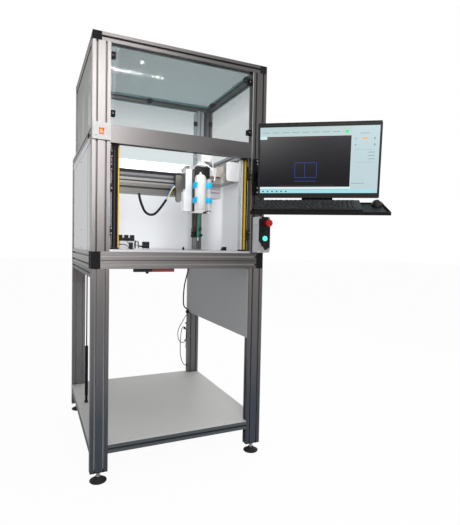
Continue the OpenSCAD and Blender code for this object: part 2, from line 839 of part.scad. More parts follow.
module tray_bracket() {
    ear = tilt_w / 2 + gap;
    color([0.15, 0.15, 0.15]) at_tilt() {
        rotate([0, 90, 0]) cylinder(r = tilt_r, h = 2 * ear + 16, center = true);
        for (s = [-1, 1]) difference() {
            union() {
                translate([s * (ear + 4), 0, 0]) rotate([0, 90, 0]) cylinder(r = 9, h = 8, center = true);
                translate([s * (ear + 4), plate_y / 2, 0]) cube([8, -plate_y, 18], center = true);
            }
            rotate([0, 90, 0]) cylinder(r = tilt_r, h = 2 * tilt_w, center = true);
        }
        slab(-vesa / 2, vesa / 2, plate_y - 4, plate_y, -vesa / 2, vesa / 2);
        slab(-strap_w / 2, strap_w / 2, plate_y - 4, plate_y, tray_z - hinge_r, -vesa / 2);
        slab(-strap_w / 2, strap_w / 2, tray_y + hinge_r + 2, plate_y - 4, tray_z - hinge_r, tray_z - 2);
        for (s = [-1, 1]) translate([s * knuckle_x, 0, 0]) {
            translate([0, tray_y, tray_z]) rotate([0, 90, 0])
                cylinder(r = hinge_r, h = knuckle_l, center = true);
            slab(-knuckle_l / 2, knuckle_l / 2, tray_y, tray_y + hinge_r + 2,
                tray_z - hinge_r, tray_z - 2);
        }
        translate([0, tray_y, tray_z]) rotate([0, 90, 0])
            cylinder(r = hinge_pin, h = strap_w - 1, center = true);
    }
}

monitor_t = 22;
chin = 22;
bezel = 9;

module monitor() {
    color([0.06, 0.06, 0.07]) at_tilt() translate([0, plate_y - 4, 30]) rotate([90, 0, 0]) {
        linear_extrude(8) rounded(monitor_w * 0.8, monitor_h * 0.7, 12);
        translate([0, 0, 8]) difference() {
            linear_extrude(monitor_t - 8) rounded(monitor_w, monitor_h, 5);
            translate([bezel - monitor_w / 2, chin - monitor_h / 2, monitor_t - 9.5])
                cube([monitor_w - 2 * bezel, monitor_h - bezel - chin, 3]);
        }
    }
}

eye_l = strap_w - 2 * knuckle_l - 1;
tray_t = 4;
tray_rim = 3;
lip_h = 13;

module keyboard_tray() {
    half = tray_w / 2;
    start = -hinge_r - 5;
    color([0.1, 0.1, 0.1]) at_tray() difference() {
        union() {
            rotate([0, 90, 0]) cylinder(r = hinge_r, h = eye_l, center = true);
            slab(-eye_l / 2, eye_l / 2, start, 0, -hinge_r, -hinge_r + tray_t);
            slab(-half, half, start - tray_d, start, -hinge_r, -hinge_r + tray_t);
            slab(-half, half, start - tray_d, start - tray_d + tray_rim, -hinge_r, lip_h - hinge_r);
            slab(-half, half, start - tray_rim, start, -hinge_r, 2);
            for (s = [-1, 1]) slab(s * (half - tray_rim / 2) - tray_rim / 2,
                s * (half - tray_rim / 2) + tray_rim / 2, start - tray_d, start, -hinge_r,
                lip_h - hinge_r);
        }
        rotate([0, 90, 0]) cylinder(r = hinge_pin + play, h = strap_w, center = true);
    }
}

board_w = 440;
board_d = 140;
board_x = 6.5 - tray_w / 2;
board_back = 45;

module keyboard_mouse() {
    floor_z = tray_t - hinge_r;
    back = -hinge_r - 5 - board_back;
    color([0.12, 0.12, 0.13]) at_tray() {
        translate([board_x, back, floor_z]) rotate([90, 0, 90]) linear_extrude(board_w)
            polygon([[-board_d, 0], [0, 0], [0, 22], [-8, 22], [-board_d + 12, 10], [-board_d, 8]]);
        translate([tray_w / 2 - 28, back - 20, floor_z]) mouse();
    }
}

module mouse() {
    scale([1, 1.7, 1]) intersection() {
        scale([1, 1, 1.3]) sphere(r = 21, $fn = 40);
        translate([0, 0, 20]) cube([60, 60, 40], center = true);
    }
}

module under_cable() {
    color([0.05, 0.05, 0.05]) {
        cord(curve(cable_path, 3), cable_r);
    }
}

module under_lead() {
    color([0.1, 0.1, 0.1]) cord(curve(lead_path, 3), lead_r, 8);
}

module gantry_carriages() {
    color([0.5, 0.45, 0.4]) {
        both() {
            slab(span, span + carriage_t, module_y - 5, module_back + 35, ybeam_mid - 55,
                ybeam_mid + 50);
            slab(span + carriage_t, span + carriage_t + groove_d, module_y - 5, module_back + 35,
                ybeam_mid - groove_h / 2 + gap, ybeam_mid + groove_h / 2 - gap);
        }
        slab(span - 32, span, module_y - 14, module_y, track_z + 12, module_top + 8);
        slab(span - 32, span, module_y, module_back, module_top, module_top + 8);
    }
}

module x_support() {
    color([0.45, 0.38, 0.34]) translate([-span, module_y, module_z - support_h])
        rotate([90, 0, 90]) linear_extrude(2 * span) difference() {
            square([module_d - 10, support_h]);
            for (k = [0.25, 0.75]) {
                translate([k * (module_d - 10), 0]) rotate(180) slot_mouth();
                translate([k * (module_d - 10), support_h]) slot_mouth();
            }
            translate([0, support_h / 2]) rotate(90) slot_mouth();
            translate([module_d - 10, support_h / 2]) rotate(-90) slot_mouth();
            translate([(module_d - 10) / 2, support_h / 2]) square([14, 30], center = true);
        }
}

module x_module() {
    h = track_z - module_z;
    color([0.8, 0.8, 0.8]) translate([-span, module_y, module_z])
        rotate([90, 0, 90]) linear_extrude(2 * span) difference() {
            square([module_d, module_h]);
            translate([-1, h]) square([groove_d + 1, track_h]);
            translate([-1, h - 6]) square([1.6, 3]);
            translate([25, 20]) square([40, 50]);
            translate([module_d, 30]) rotate(-90) slot_mouth();
            translate([module_d, 80]) rotate(-90) slot_mouth();
        }
}

// Black sheath and the three wires that leave its end
module gantry_cable() {
    color([0.05, 0.05, 0.05]) cord(curve(drag_path, 3), drag_r);
    color([0.1, 0.3, 0.7]) for (k = [-1, 0, 1])
        cord(curve([for (p = wire_path) p + [0, k * 2.6, abs(k) * -2]], 2), wire_r, 8);
}

module x_carriage() {
    color([0.5, 0.42, 0.36]) {
        slab(z_left, z_left + 64, z_back, module_y - gap, module_z - 57, track_z + 32);
        slab(z_left, z_left + 64, module_y - gap, module_y + groove_d - 0.5, track_z + gap,
            track_z + track_h - gap);
        slab(z_left - 44, z_left, z_back - 18, z_back + 6, module_z - 43, module_z + 50);
        slab(z_left - 40, z_left, z_back - 16, z_back + 2, module_z - 96, module_z - 43);
    }
    color([0.9, 0.9, 0.9]) slab(z_left - 36, z_left - 14, z_back - 14, z_back, module_z - 104,
        module_z - 96);
}

zgroove_w = 14;

module z_housing() {
    mid = z_back - z_depth / 2;
    color([0.93, 0.93, 0.94]) difference() {
        union() {
            slab(z_left, z_left + z_w, z_front, z_back, z_low, z_top);
            slab(z_left - 10, z_left, z_front, z_back - 18, z_low, z_low + 112);
        }
        slab(z_left + z_w - groove_d, z_left + z_w + 1, mid - zgroove_w / 2, mid + zgroove_w / 2,
            z_low - 1, z_top + 1);
    }
    color([0.35, 0.35, 0.35]) slab(z_left + 3, z_left + z_w - groove_d - 2, z_front + 6, z_back - 6,
        z_top, z_top + 18);
}

module head_slide() {
    mid = z_back - z_depth / 2;
    x = slide_x + gap;
    color([0.25, 0.22, 0.2]) {
        slab(x, x + slide_t, head_back, z_back - 8, base_z + 14, block_z + 40);
        slab(slide_x - groove_d + 0.5, x, mid - zgroove_w / 2 + gap, mid + zgroove_w / 2 - gap,
            z_low, block_z);
        slab(x, head_x + cart_r, head_back, head_back + 10, base_z, base_z + 14);
        slab(x + slide_t, head_x + cart_r, head_back, head_back + 10, base_z + 14, block_z);
    }
}

clip_levels = [seat_z + 52, seat_z + 135];

// Spring clip that holds the cartridge and the clear cylinder side by side, open to the front
module clip() {
    inner = cart_r + gap;
    outer = inner + clip_t;
    small = vial_r + gap;
    linear_extrude(clip_h) difference() {
        union() {
            translate([head_x, head_y]) difference() {
                circle(outer, $fn = 72);
                polygon([[0, 0], outer * [-2, -1.3], outer * [-2, -2], outer * [2, -2],
                    outer * [2, -0.6]]);
            }
            translate([head_x, head_y]) rotate(tip_turn) translate([inner + clip_t / 2, 0])
                circle(clip_t / 2 + 1.5, $fn = 32);
            translate([vial_x, head_y]) circle(small + clip_t - 2, $fn = 48);
            translate([slide_x - 4, head_back - gap - seat_t]) square([50, seat_t]);
            translate([head_x - 12, head_y + cart_r]) square([24, head_back - gap - head_y - cart_r]);
        }
        translate([head_x, head_y]) circle(inner, $fn = 72);
        translate([vial_x, head_y]) circle(small, $fn = 48);
    }
}

module cartridge_clips() {
    color([0.05, 0.6, 0.9]) for (z = clip_levels) translate([0, 0, z]) clip();
}

module drive_block() {
    color([0.12, 0.12, 0.12]) difference() {
        slab(drive_x, drive_x + 80, block_front, block_front + 60, block_z, block_z + block_h);
        for (k = [0:4]) slab(drive_x + 6 + k * 15, drive_x + 12 + k * 15, block_front - 1,
            block_front + 3, block_z + 8, block_z + block_h - 8);
    }
}

motor_z = block_z + block_h;

module drive_motor() {
    color([0.93, 0.93, 0.92]) {
        translate([drive_x + 40, block_front + 30, motor_z])
            rotate_extrude() polygon([[0, 0], [25, 0], [25, 24], [21, 32], [0, 32]]);
        slab(drive_x + 28, drive_x + 91, block_front + 4, block_front + 56, motor_z + 32,
            motor_z + 100);
    }
}

module cartridge() {
    color([0.95, 0.95, 0.95]) translate([head_x, head_y, seat_z]) rotate_extrude($fn = 72)
        polygon([[0, 0], [cart_r, 0], [cart_r, 6], [cart_r - 1.5, 8], [cart_r - 1.5, 11],
            [cart_r, 13], [cart_r, cart_len], [cart_r - 2, cart_len + 9], [cart_r - 8, cart_len + 17],
            [cart_r - 17, cart_len + 22], [6, cart_len + 24], [4.5, cart_len + 36],
            [0, cart_len + 36]]);
}

module clear_cylinder() {
    color([0.85, 0.88, 0.9, 0.5]) translate([vial_x, head_y, seat_z - 2]) {
        rotate_extrude() polygon([[0, 0], [9, 0], [9, 10], [vial_r, 16], [vial_r, 184],
            [vial_r - 4, 188], [0, 188]]);
        translate([0, 0, 178]) rotate([0, 90, 0]) cylinder(r = 3, h = 240 - vial_x);
        translate([0, 0, -6]) difference() {
            cylinder(r = 13, h = 6);
            translate([0, 0, -1]) cylinder(r = 7, h = 5);
        }
    }
}

mixer_x = head_x - 10;
bar_low = base_z - 102;

// Carrier under the cartridge with two hanging bars and the clamp round the mixer
module nozzle_bracket() {
    color([0.2, 0.16, 0.15]) difference() {
        union() {
            slab(head_x - 50, head_x + cart_r - 6, head_y - 36, head_back, base_z, seat_z);
            slab(mixer_x - 34, mixer_x - 24, head_y - 10, head_y + 10, bar_low, base_z);
            slab(mixer_x - 18, mixer_x - 9, head_y - 10, head_y + 10, bar_low, base_z);
            slab(mixer_x - 9, mixer_x + 13, head_y - 2, head_y + 12, bar_low, bar_low + 32);
            slab(mixer_x - 34, mixer_x + 12, head_y + 12, head_y + 18, bar_low - 32, bar_low + 20);
            slab(mixer_x - 34, mixer_x - 9, head_y + 9, head_y + 12, bar_low, bar_low + 20);
        }
        translate([mixer_x, head_y, bar_low - 1]) cylinder(r = mixer_r + gap, h = 60);
        translate([mixer_x, head_y, base_z - 1]) cylinder(r = 4, h = base_t + 2);
    }
    color([0.08, 0.08, 0.08]) {
        translate([mixer_x + 13, head_y + 5, bar_low + 16]) rotate([0, 90, 0]) cylinder(r = 5, h = 9);
        translate([mixer_x - 30, head_y + 12, bar_low - 22]) rotate([90, 0, 0]) cylinder(r = 9, h = 14);
        translate([mixer_x + 13, head_y + 12, bar_low - 22]) rotate([90, 0, 0]) cylinder(r = 7, h = 14);
    }
}

module static_mixer() {
    color([0.15, 0.6, 0.45]) translate([mixer_x, head_y, base_z - 15 - mixer_len + 19])
        rotate_extrude($fn = 36) polygon([[0, 0], [mixer_r - 2, 0], [mixer_r, 8],
            [mixer_r, mixer_len - 19], [mixer_r + 2, mixer_len - 16], [mixer_r + 2, mixer_len - 4],
            [0, mixer_len - 4]]);
    color([0.95, 0.95, 0.95]) translate([mixer_x, head_y, base_z - 15 - mixer_len])
        cylinder(r1 = 2, r2 = mixer_r - 2, h = 19);
}

module head_hoses() {
    color([0.95, 0.95, 0.95]) {
        cord(curve(hose_path, 3), 3, 8);
        cord(curve(tube_path, 3), 3, 8);
    }
}

legs();
frame_caps();
levelling_feet();
lower_rails();
shelf_plate();
mid_rails();
table_plate();
front_posts();
rear_posts();
inner_posts();
cross_beam();
loop_rails();
top_rails();
front_panel();
guard_panels();
panel_clamps();
lower_sheets();
apron_plate();
cable_fittings();
gas_strut();
rail_fitting();
switch_plate();
light_curtains();
control_box();
control_plate();
gantry_beams();
beam_covers();
terminal_block();
sensor_unit();
table_stops();
arm_base();
under_cable();
under_lead();
rocker();
estop_button();
start_button();
reset_button();
stop_button();
gantry_carriages();
x_support();
x_module();
gantry_cable();
x_carriage();
z_housing();
head_slide();
drive_block();
drive_motor();
cartridge();
clear_cylinder();
cartridge_clips();
nozzle_bracket();
static_mixer();
head_hoses();
lower_link();
upper_link();
head_swivel();
tray_bracket();
monitor();
keyboard_tray();
keyboard_mouse();
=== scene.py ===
import json
import math

import bpy
from mathutils import Matrix, Vector


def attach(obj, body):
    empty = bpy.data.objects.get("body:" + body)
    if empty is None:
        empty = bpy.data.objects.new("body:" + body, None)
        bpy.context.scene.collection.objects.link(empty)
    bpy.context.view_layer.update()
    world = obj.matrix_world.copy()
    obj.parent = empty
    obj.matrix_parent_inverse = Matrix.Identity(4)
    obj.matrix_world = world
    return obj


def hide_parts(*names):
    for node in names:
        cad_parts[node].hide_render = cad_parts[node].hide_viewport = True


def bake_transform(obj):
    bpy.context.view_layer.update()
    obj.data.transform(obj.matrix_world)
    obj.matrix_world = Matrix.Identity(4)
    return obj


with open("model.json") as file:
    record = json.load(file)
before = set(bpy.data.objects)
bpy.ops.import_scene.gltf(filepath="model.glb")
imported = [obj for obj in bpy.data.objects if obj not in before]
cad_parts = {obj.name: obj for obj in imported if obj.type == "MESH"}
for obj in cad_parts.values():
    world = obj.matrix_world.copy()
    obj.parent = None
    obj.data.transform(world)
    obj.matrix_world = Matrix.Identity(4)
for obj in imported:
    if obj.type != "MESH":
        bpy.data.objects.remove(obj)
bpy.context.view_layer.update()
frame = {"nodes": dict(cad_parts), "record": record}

bl_info = {
    "name": "Dispensing cell",
    "version": (1, 0, 0),
    "blender": (4, 5, 0),
    "location": "3D View > Sidebar > Dispensing cell",
    "description": "Finishes, fittings, screen, keys and cords of a gantry dispensing cell",
    "category": "Object",
}

MM = 0.001
JOINTS = {joint["name"]: joint for joint in frame["record"]["behaviour"]["joints"]}

# Directions in which screws and fittings look
FRONT, REAR, LEFT, RIGHT, UP = (0, -1, 0), (0, 1, 0), (-1, 0, 0), (1, 0, 0), (0, 0, 1)

# Module of the profiles and half the mouth of a slot, in metres
MODULE = 0.04
HALF_SLOT = 0.0044

# Share of metal in the look of an anodised profile and of a machined face
ANODISED = 0.82
BARE = 0.9

# Routes of the cords, in millimetres
CABLE_ROUTE = [
    (352, 440, 1061.6), (352, 440, 1040), (351, 440, 990), (348, 440, 934), (334, 440, 875),
    (321, 440, 818), (315, 440, 750), (315, 440, 688), (322, 440, 662), (336, 440, 648),
    (344.5, 440, 641), (345, 440, 632.5),
]
LEAD_ROUTE = [
    (345, 440, 613.5), (344, 440, 606), (330, 441, 588), (308, 442, 548), (286, 443, 510),
    (277, 444, 470), (284, 446, 425), (305, 448, 400), (330, 450, 403), (346, 450, 435),
    (344, 450, 480), (328, 447, 512), (308, 440, 505), (298, 435, 465), (294, 434, 410),
    (294, 434, 350), (299, 436, 300), (314, 442, 258), (334, 456, 232), (346, 466, 226),
    (351.6, 468, 226),
]
GANTRY_ROUTE = [
    (-136, -94, 1391.7), (-134, -94, 1375), (-126, -93, 1345), (-107, -93, 1300),
    (-89, -94, 1281), (-69, -95, 1275), (-50, -97, 1279), (-34, -99, 1292), (-7, -105, 1327),
    (17, -112, 1365),
]
WIRE_ROUTE = [
    (14, -111, 1360), (24, -114, 1378), (35, -118, 1405), (50, -121, 1432), (58, -121, 1441),
    (65.6, -121, 1442),
]
PLUG_ROUTE = [
    (-311.5, -430, 1112), (-306, -404, 1110), (-299, -366, 1106), (-292, -334, 1103),
    (-286, -320, 1102), (-278, -316, 1104), (-267, -313, 1105.2), (-256, -311, 1103.8),
    (-248, -309, 1100.4), (-240, -307, 1094.8), (-234.6, -307, 1086.4),
]
SENSOR_ROUTE = [
    (-246, -301, 1123), (-244, -307, 1120), (-236, -311, 1111.5), (-229, -313, 1102),
    (-224, -314.5, 1093.5), (-222.4, -315.6, 1086.6),
]
ARCH_ROUTE = [
    (-284, -319, 1081), (-281, -319, 1087), (-274, -318, 1092), (-266, -318, 1095),
    (-254, -318, 1095), (-246, -318, 1091), (-240, -318, 1086), (-237, -318, 1081),
]
LEG_ROUTE = [
    (347, 446, 612), (346.5, 450, 600), (345.5, 454, 560), (344.5, 455, 500), (343, 455, 430),
    (341.5, 455, 354),
]
HOSE_ROUTE = [
    (155, -176, 1530), (155, -177, 1538), (155, -190, 1552), (163, -218, 1560),
    (182, -238, 1561), (207, -248, 1556), (232, -252, 1541), (250, -252, 1515),
    (257, -251, 1490), (253, -250, 1472), (246, -250, 1468), (240, -250, 1468),
]
TUBE_ROUTE = [
    (251.3, -182, 1625), (257, -182, 1625), (264, -184, 1617), (268, -188, 1590),
    (269, -190, 1555), (265, -188, 1525), (256, -184, 1512), (248, -182, 1510),
    (240.3, -182, 1510),
]

# Cords that keep their shape: name, route, radius in metres, finish, body, stiffness, lay,
# far end and the node that it replaces
CORDS = (
    ("cord_under_cable", CABLE_ROUTE, 0.0045, "cable_skin", "cell", "medium", "hanging", "object",
     "under_cable"),
    ("cord_under_lead", LEAD_ROUTE, 0.0025, "cable_skin", "cell", "limp", "hanging", "object",
     "under_lead"),
    ("cord_hose", HOSE_ROUTE, 0.003, "hose_skin", "head", "limp", "loose", "object",
     "head_hoses"),
    ("cord_tube", TUBE_ROUTE, 0.003, "hose_skin", "head", "limp", "loose", "object", None),
    ("cord_sensor_1", PLUG_ROUTE, 0.0016, "cable_skin", "cell", "limp", "loose", "object", None),
    ("cord_sensor_2", SENSOR_ROUTE, 0.0016, "cable_skin", "cell", "limp", "loose", "object", None),
    ("cord_arch", ARCH_ROUTE, 0.0018, "hose_skin", "cell", "medium", "loose", "object", None),
    ("cord_leg", LEG_ROUTE, 0.0016, "cable_skin", "cell", "limp", "hanging", "bare", None),
)

# Points of a route for each point that is given
ROUTE_STEPS = 3

# Knobs on the nozzle bracket, in millimetres
KNOBS = [(128, -266, 1161.5), (172, -266, 1162.5), (165, -270, 1197.5)]

# Rings round the buttons: name, middle and radius, in millimetres
RINGS = (
    ("ring_reset", (404, -575, 1186), 10.5),
    ("ring_start", (407, -575, 1148), 14.6),
    ("ring_stop", (396, -575, 1116), 9.5),
)

# Lamps: name, place, size in metres, power in watts and the point that it looks at
MIDDLE = (0, 0, 1.2)
LAMPS = (
    ("lamp_left", (-0.45, -3.5, 2.4), (1.2, 1.9), 58, MIDDLE),
    ("lamp_right", (3.6, -3.0, 2.2), (2.4, 2.4), 12, MIDDLE),
    ("lamp_top", (0.3, -0.6, 4.4), (3.0, 3.0), 36, MIDDLE),
    ("lamp_back", (2.4, 2.8, 3.0), (2.4, 2.4), 30, MIDDLE),
    # A strip behind the cross-beam and two panels at the gantry light the work area
    ("lamp_inside", (-0.02, -0.425, 1.6), (0.62, 0.05), 1.2, (0, 0.3, 1.3)),
    ("lamp_wall", (0.06, 0.02, 1.34), (0.66, 0.36), 0.85, (0.06, 1, 1.34)),
    ("lamp_side", (-0.26, 0.12, 1.32), (0.3, 0.4), 1.25, (1, 0.12, 1.32)),
    # Ceiling lamps that the front panel mirrors
    ("strip_long", (0.119, -2.5226, 2.697), (0.285, 0.009), 3, (0.119, 0, 2.697)),
    ("strip_short", (0.399, -2.5226, 2.696), (0.106, 0.009), 1.2, (0.399, 0, 2.696)),
    ("spot_small", (0.2496, -2.5226, 2.807), (0.025, 0.025), 0.4, (0.2496, 0, 2.807)),
)

# Anodised profiles: colour, axis along which they are drawn, roughness
PROFILES = {
    "leg_profile": ((0.192, 0.178, 0.175), "Z"),
    "front_profile": ((0.195, 0.182, 0.18), "Z"),
    "beam_profile": ((0.09, 0.088, 0.09), "X"),
    "top_profile": ((0.1, 0.095, 0.095), "X"),
    "inner_profile": ((0.08, 0.08, 0.08), "Z", 0.4),
    "beam_skin": ((0.42, 0.4, 0.39), "Y", 0.3),
    "module_skin": ((0.09, 0.09, 0.093), "X", 0.3),
    "support_skin": ((0.145, 0.14, 0.135), "X", 0.3),
}

# Machined metal: colour and roughness
MACHINED = {
    "brown_metal": ((0.3, 0.27, 0.245), 0.35),
    "carriage_metal": ((0.11, 0.105, 0.095), 0.4),
    "slide_metal": ((0.1, 0.085, 0.08), 0.4),
    "bare_plate": ((0.6, 0.6, 0.61), 0.32),
    "steel": ((0.55, 0.55, 0.56), 0.25),
    "sensor": ((0.6, 0.6, 0.6), 0.25),
}

# Powder coat: colour, roughness, scale and depth of the peel, shine
COATED = {
    "bracket_metal": ((0.035, 0.024, 0.023), 0.4),
    "shelf_sheet": ((0.55, 0.55, 0.54), 0.5),
    "black_metal": ((0.008, 0.008, 0.009), 0.5, 1200.0, 0.2, 0.08),
    "curtain_body": ((0.008, 0.008, 0.009), 0.5, 1200.0, 0.2, 0.08),
    "link_metal": ((0.03, 0.03, 0.032), 0.4, 1000.0, 0.15),
}

# Moulded plastic: colour, roughness, scale and depth of the grain, shine
SMOOTH = (700.0, 0.04)
SHEATH = (900.0, 0.05)
MOULDED = {
    "black_plastic": ((0.011, 0.011, 0.012),),
    "cap_plastic": ((0.014, 0.014, 0.016), 0.6, 1400.0, 0.12, 0.05),
    "clamp_plastic": ((0.01, 0.01, 0.012), 0.6, 1400.0, 0.12, 0.05),
    "key_plastic": ((0.008, 0.008, 0.009), 0.5),
    "black_rubber": ((0.017, 0.017, 0.017), 0.65),
    "foot": ((0.017, 0.017, 0.017), 0.6),
    "terminal": ((0.01, 0.01, 0.012),),
    "rail_block": ((0.011, 0.011, 0.012),),
    "white_plastic": ((0.88, 0.88, 0.88), 0.34, *SMOOTH),
    "pale_plastic": ((0.6, 0.6, 0.59), 0.4, *SMOOTH),
    "housing": ((0.76, 0.76, 0.77), 0.34, *SMOOTH),
    "light_grey": ((0.6, 0.62, 0.64), 0.42, 900.0, 0.08),
    "red_plastic": ((0.6, 0.02, 0.015), 0.3, *SMOOTH),
    "green_mixer": ((0.025, 0.25, 0.15), 0.3, *SMOOTH),
    "yellow_strip": ((0.82, 0.5, 0.01), 0.35, 700.0, 0.03),
    "lens": ((0.55, 0.56, 0.58), 0.3, 1400.0, 0.12, 0.1),
    "cable_skin": ((0.008, 0.008, 0.009), 0.4, 900.0, 0.1),
    "hose_skin": ((0.82, 0.82, 0.82), 0.25, 900.0, 0.03),
    "wire_blue": ((0.02, 0.2, 0.85), 0.35, *SHEATH),
    "wire_yellow": ((0.85, 0.7, 0.02), 0.35, *SHEATH),
    "wire_white": ((0.7, 0.7, 0.7), 0.35, *SHEATH),
}

# Finishes that pass into another colour: axis, low and high end in metres, colour at the low end
FADES = {
    # Painted shade: the legs darken and turn bluish towards the floor
    "leg_profile": ("Z", 0.28, 0.95, (0.056, 0.064, 0.082)),
    # Painted highlight: the cross-beam is lighter towards its left end
    "beam_profile": ("X", -0.36, 0.38, (0.165, 0.153, 0.152)),
    # Painted highlight: the top rails are lighter towards their left end
    "top_profile": ("X", -0.4, 0.4, (0.15, 0.139, 0.137)),
    "carriage_metal": ("Z", 1.37, 1.43, (0.2, 0.2, 0.2)),
}

# Stretches of another colour: the colour, then axis, low and high end of each limit in metres
REAR_FACES = (("X", 0.355, 0.4005), ("Y", 0.455, 0.4995), ("Z", 1.08, 1.6))
SHEET_EDGE = ("X", -0.445, -0.433)
MODULE_LEFT, MODULE_RIGHT = ("X", -0.4, 0.1), ("X", 0.24, 0.36)
ZONES = {
    "leg_profile": (
        # Painted light: the lower rear legs are kept lighter than the fade leaves them
        ((0.19, 0.19, 0.195), ("X", -0.45, -0.35), ("Y", 0.4, 0.51), ("Z", 0.0, 0.85)),
        ((0.135, 0.135, 0.137), ("X", 0.35, 0.45), ("Y", 0.4, 0.51), ("Z", 0.0, 0.6))),
    # Painted shade: the right front post is darker than the left one
    "front_profile": (((0.1, 0.095, 0.093), ("X", 0.35, 0.45)),),
    "loop_profile": (((0.38, 0.38, 0.385), ("X", 0.39, 0.45)),),
    "inner_profile": (
        ((0.17, 0.175, 0.18), ("X", 0.331, 0.3335)),
        ((0.5, 0.52, 0.53), ("Z", 1.66, 2.05))),
    "rear_profile": (
        ((0.75, 0.76, 0.78), *REAR_FACES),
        ((0.46, 0.47, 0.46), ("X", 0.39, 0.45), ("Y", 0.2, 0.32), ("Z", 1.6, 1.79))),
    "module_skin": (
        ((0.86, 0.86, 0.86), ("Z", 1.5235, 1.6)),
        ((0.008, 0.008, 0.01), ("Z", 1.5035, 1.5235), MODULE_LEFT),
        # Painted reflection bands: dark and light below the slot left of the head, dark along the
        # bottom
        ((0.035, 0.035, 0.037), ("Z", 1.478, 1.49), MODULE_LEFT),
        ((0.19, 0.19, 0.19), ("Z", 1.465, 1.478), MODULE_LEFT),
        ((0.03, 0.03, 0.03), ("Z", 1.4, 1.465)),
        # Flat painted reflection tones right of the head, where the metal is taken out
        ((0.4, 0.38, 0.36), MODULE_RIGHT, ("Z", 1.48, 1.5235)),
        ((0.25, 0.24, 0.235), MODULE_RIGHT, ("Z", 1.45, 1.48))),
    "support_skin": (
        # Painted reflection bands along the support, and flat painted reflection tones right of
        # the head, where the metal is taken out
        ((0.22, 0.21, 0.2), ("Z", 1.448, 1.458)),
        ((0.065, 0.06, 0.055), ("Z", 1.418, 1.43)),
        ((0.43, 0.42, 0.42), ("X", 0.24, 0.37), ("Z", 1.44, 1.465)),
        ((0.62, 0.62, 0.64), ("X", 0.24, 0.37), ("Z", 1.38, 1.44))),
    "brown_metal": (((0.66, 0.61, 0.57), ("X", 0.3, 0.45)),),
    "bracket_metal": (
        ((0.6, 0.6, 0.6), ("Z", 1.2835, 1.2925), ("X", 0.1, 0.176)),
        ((0.006, 0.006, 0.006), ("Z", 1.1, 1.1725)),
        ((0.006, 0.006, 0.006), ("Z", 1.19, 1.206), ("X", 0.1741, 0.2))),
    "white_sheet": (
        ((0.5, 0.5, 0.51), SHEET_EDGE, ("Y", -0.309, -0.285)),
        ((0.6, 0.6, 0.6), SHEET_EDGE, ("Y", -0.41, -0.35)),
        ((0.22, 0.22, 0.22), SHEET_EDGE, ("Y", -0.46, -0.41))),
    "curtain_body": (
        ((0.85, 0.85, 0.86), ("X", -0.348, -0.3462)),
        ((0.075, 0.055, 0.075), ("X", -0.3355, -0.331), ("Y", -0.4595, -0.458))),
    "foot": (((0.32, 0.32, 0.33), ("Z", 0.0245, 0.08)),),
    "terminal": (((0.72, 0.72, 0.73), ("Z", 1.0, 1.122)),),
    "sensor": (
        ((0.02, 0.02, 0.022), ("X", -0.1805, -0.12), ("Z", 1.0852, 1.13)),
        ((0.06, 0.06, 0.06), ("Z", 1.1, 1.1035)),
        ((0.12, 0.12, 0.12), ("Z", 1.116, 1.1195))),
    "rail_block": (((0.22, 0.05, 0.04), ("X", -0.1567, 0.0)),),
    "housing": (
        ((0.12, 0.12, 0.12), ("Z", 1.5405, 1.57)),
        ((0.1, 0.1, 0.095), ("X", 0.05, 0.1112), ("Z", 1.426, 1.5405))),
    "yellow_strip": (
        ((1.0, 0.62, 0.03), ("X", 0.3402, 0.36)),
        ((0.16, 0.11, 0.02), ("X", 0.32, 0.3402))),
    "clamp_plastic": (((0.4, 0.42, 0.42), ("Z", 1.66, 1.74), ("Y", 0.2, 0.28)),),
    "green_mixer": (((0.75, 0.77, 0.76), ("Z", 1.0, 1.149)),),
}

# Painted light and shade in the slots: axis across them, first edge, half width, colour; the legs'
# slots get painted light, the front posts' and top rails' slots painted shade
SLOT_LIGHT_AND_SHADE = {
    "leg_profile": ("X", 0.0, HALF_SLOT, (0.25, 0.24, 0.245)),
    "front_profile": ("X",),
    "top_profile": ("Z", 0.01, 0.0065, (0.09, 0.084, 0.083)),
}

# Painted shade of the gap between the right front post and the light curtain, on the post's inner
# face, with a painted highlight along the edge of its front face
GAP = ("X", 0.3595, 0.3603)
GAP_SHADE_AND_HIGHLIGHT = (((0.06, 0.06, 0.06), GAP), ((0.6, 0.6, 0.6), ("X", 0.3603, 0.3625)))

# Stretches with another share of metal: share outside and inside, limits
METAL_ZONES = {
    # No metal in the gap, under its painted shade
    "front_profile": (ANODISED, 0.0, GAP),
    "inner_profile": (0.25, 0.85, ("Z", 1.66, 2.05)),
    "rear_profile": (ANODISED, 0.0, *REAR_FACES),
    # The module and its support have no metal right of the head, under their painted reflection
    # tones
    "module_skin": (ANODISED, 0.0, ("X", 0.24, 0.37)),
    "support_skin": (ANODISED, 0.0, ("X", 0.24, 0.37)),
    "brown_metal": (BARE, 0.2, ("X", 0.3, 0.45)),
}

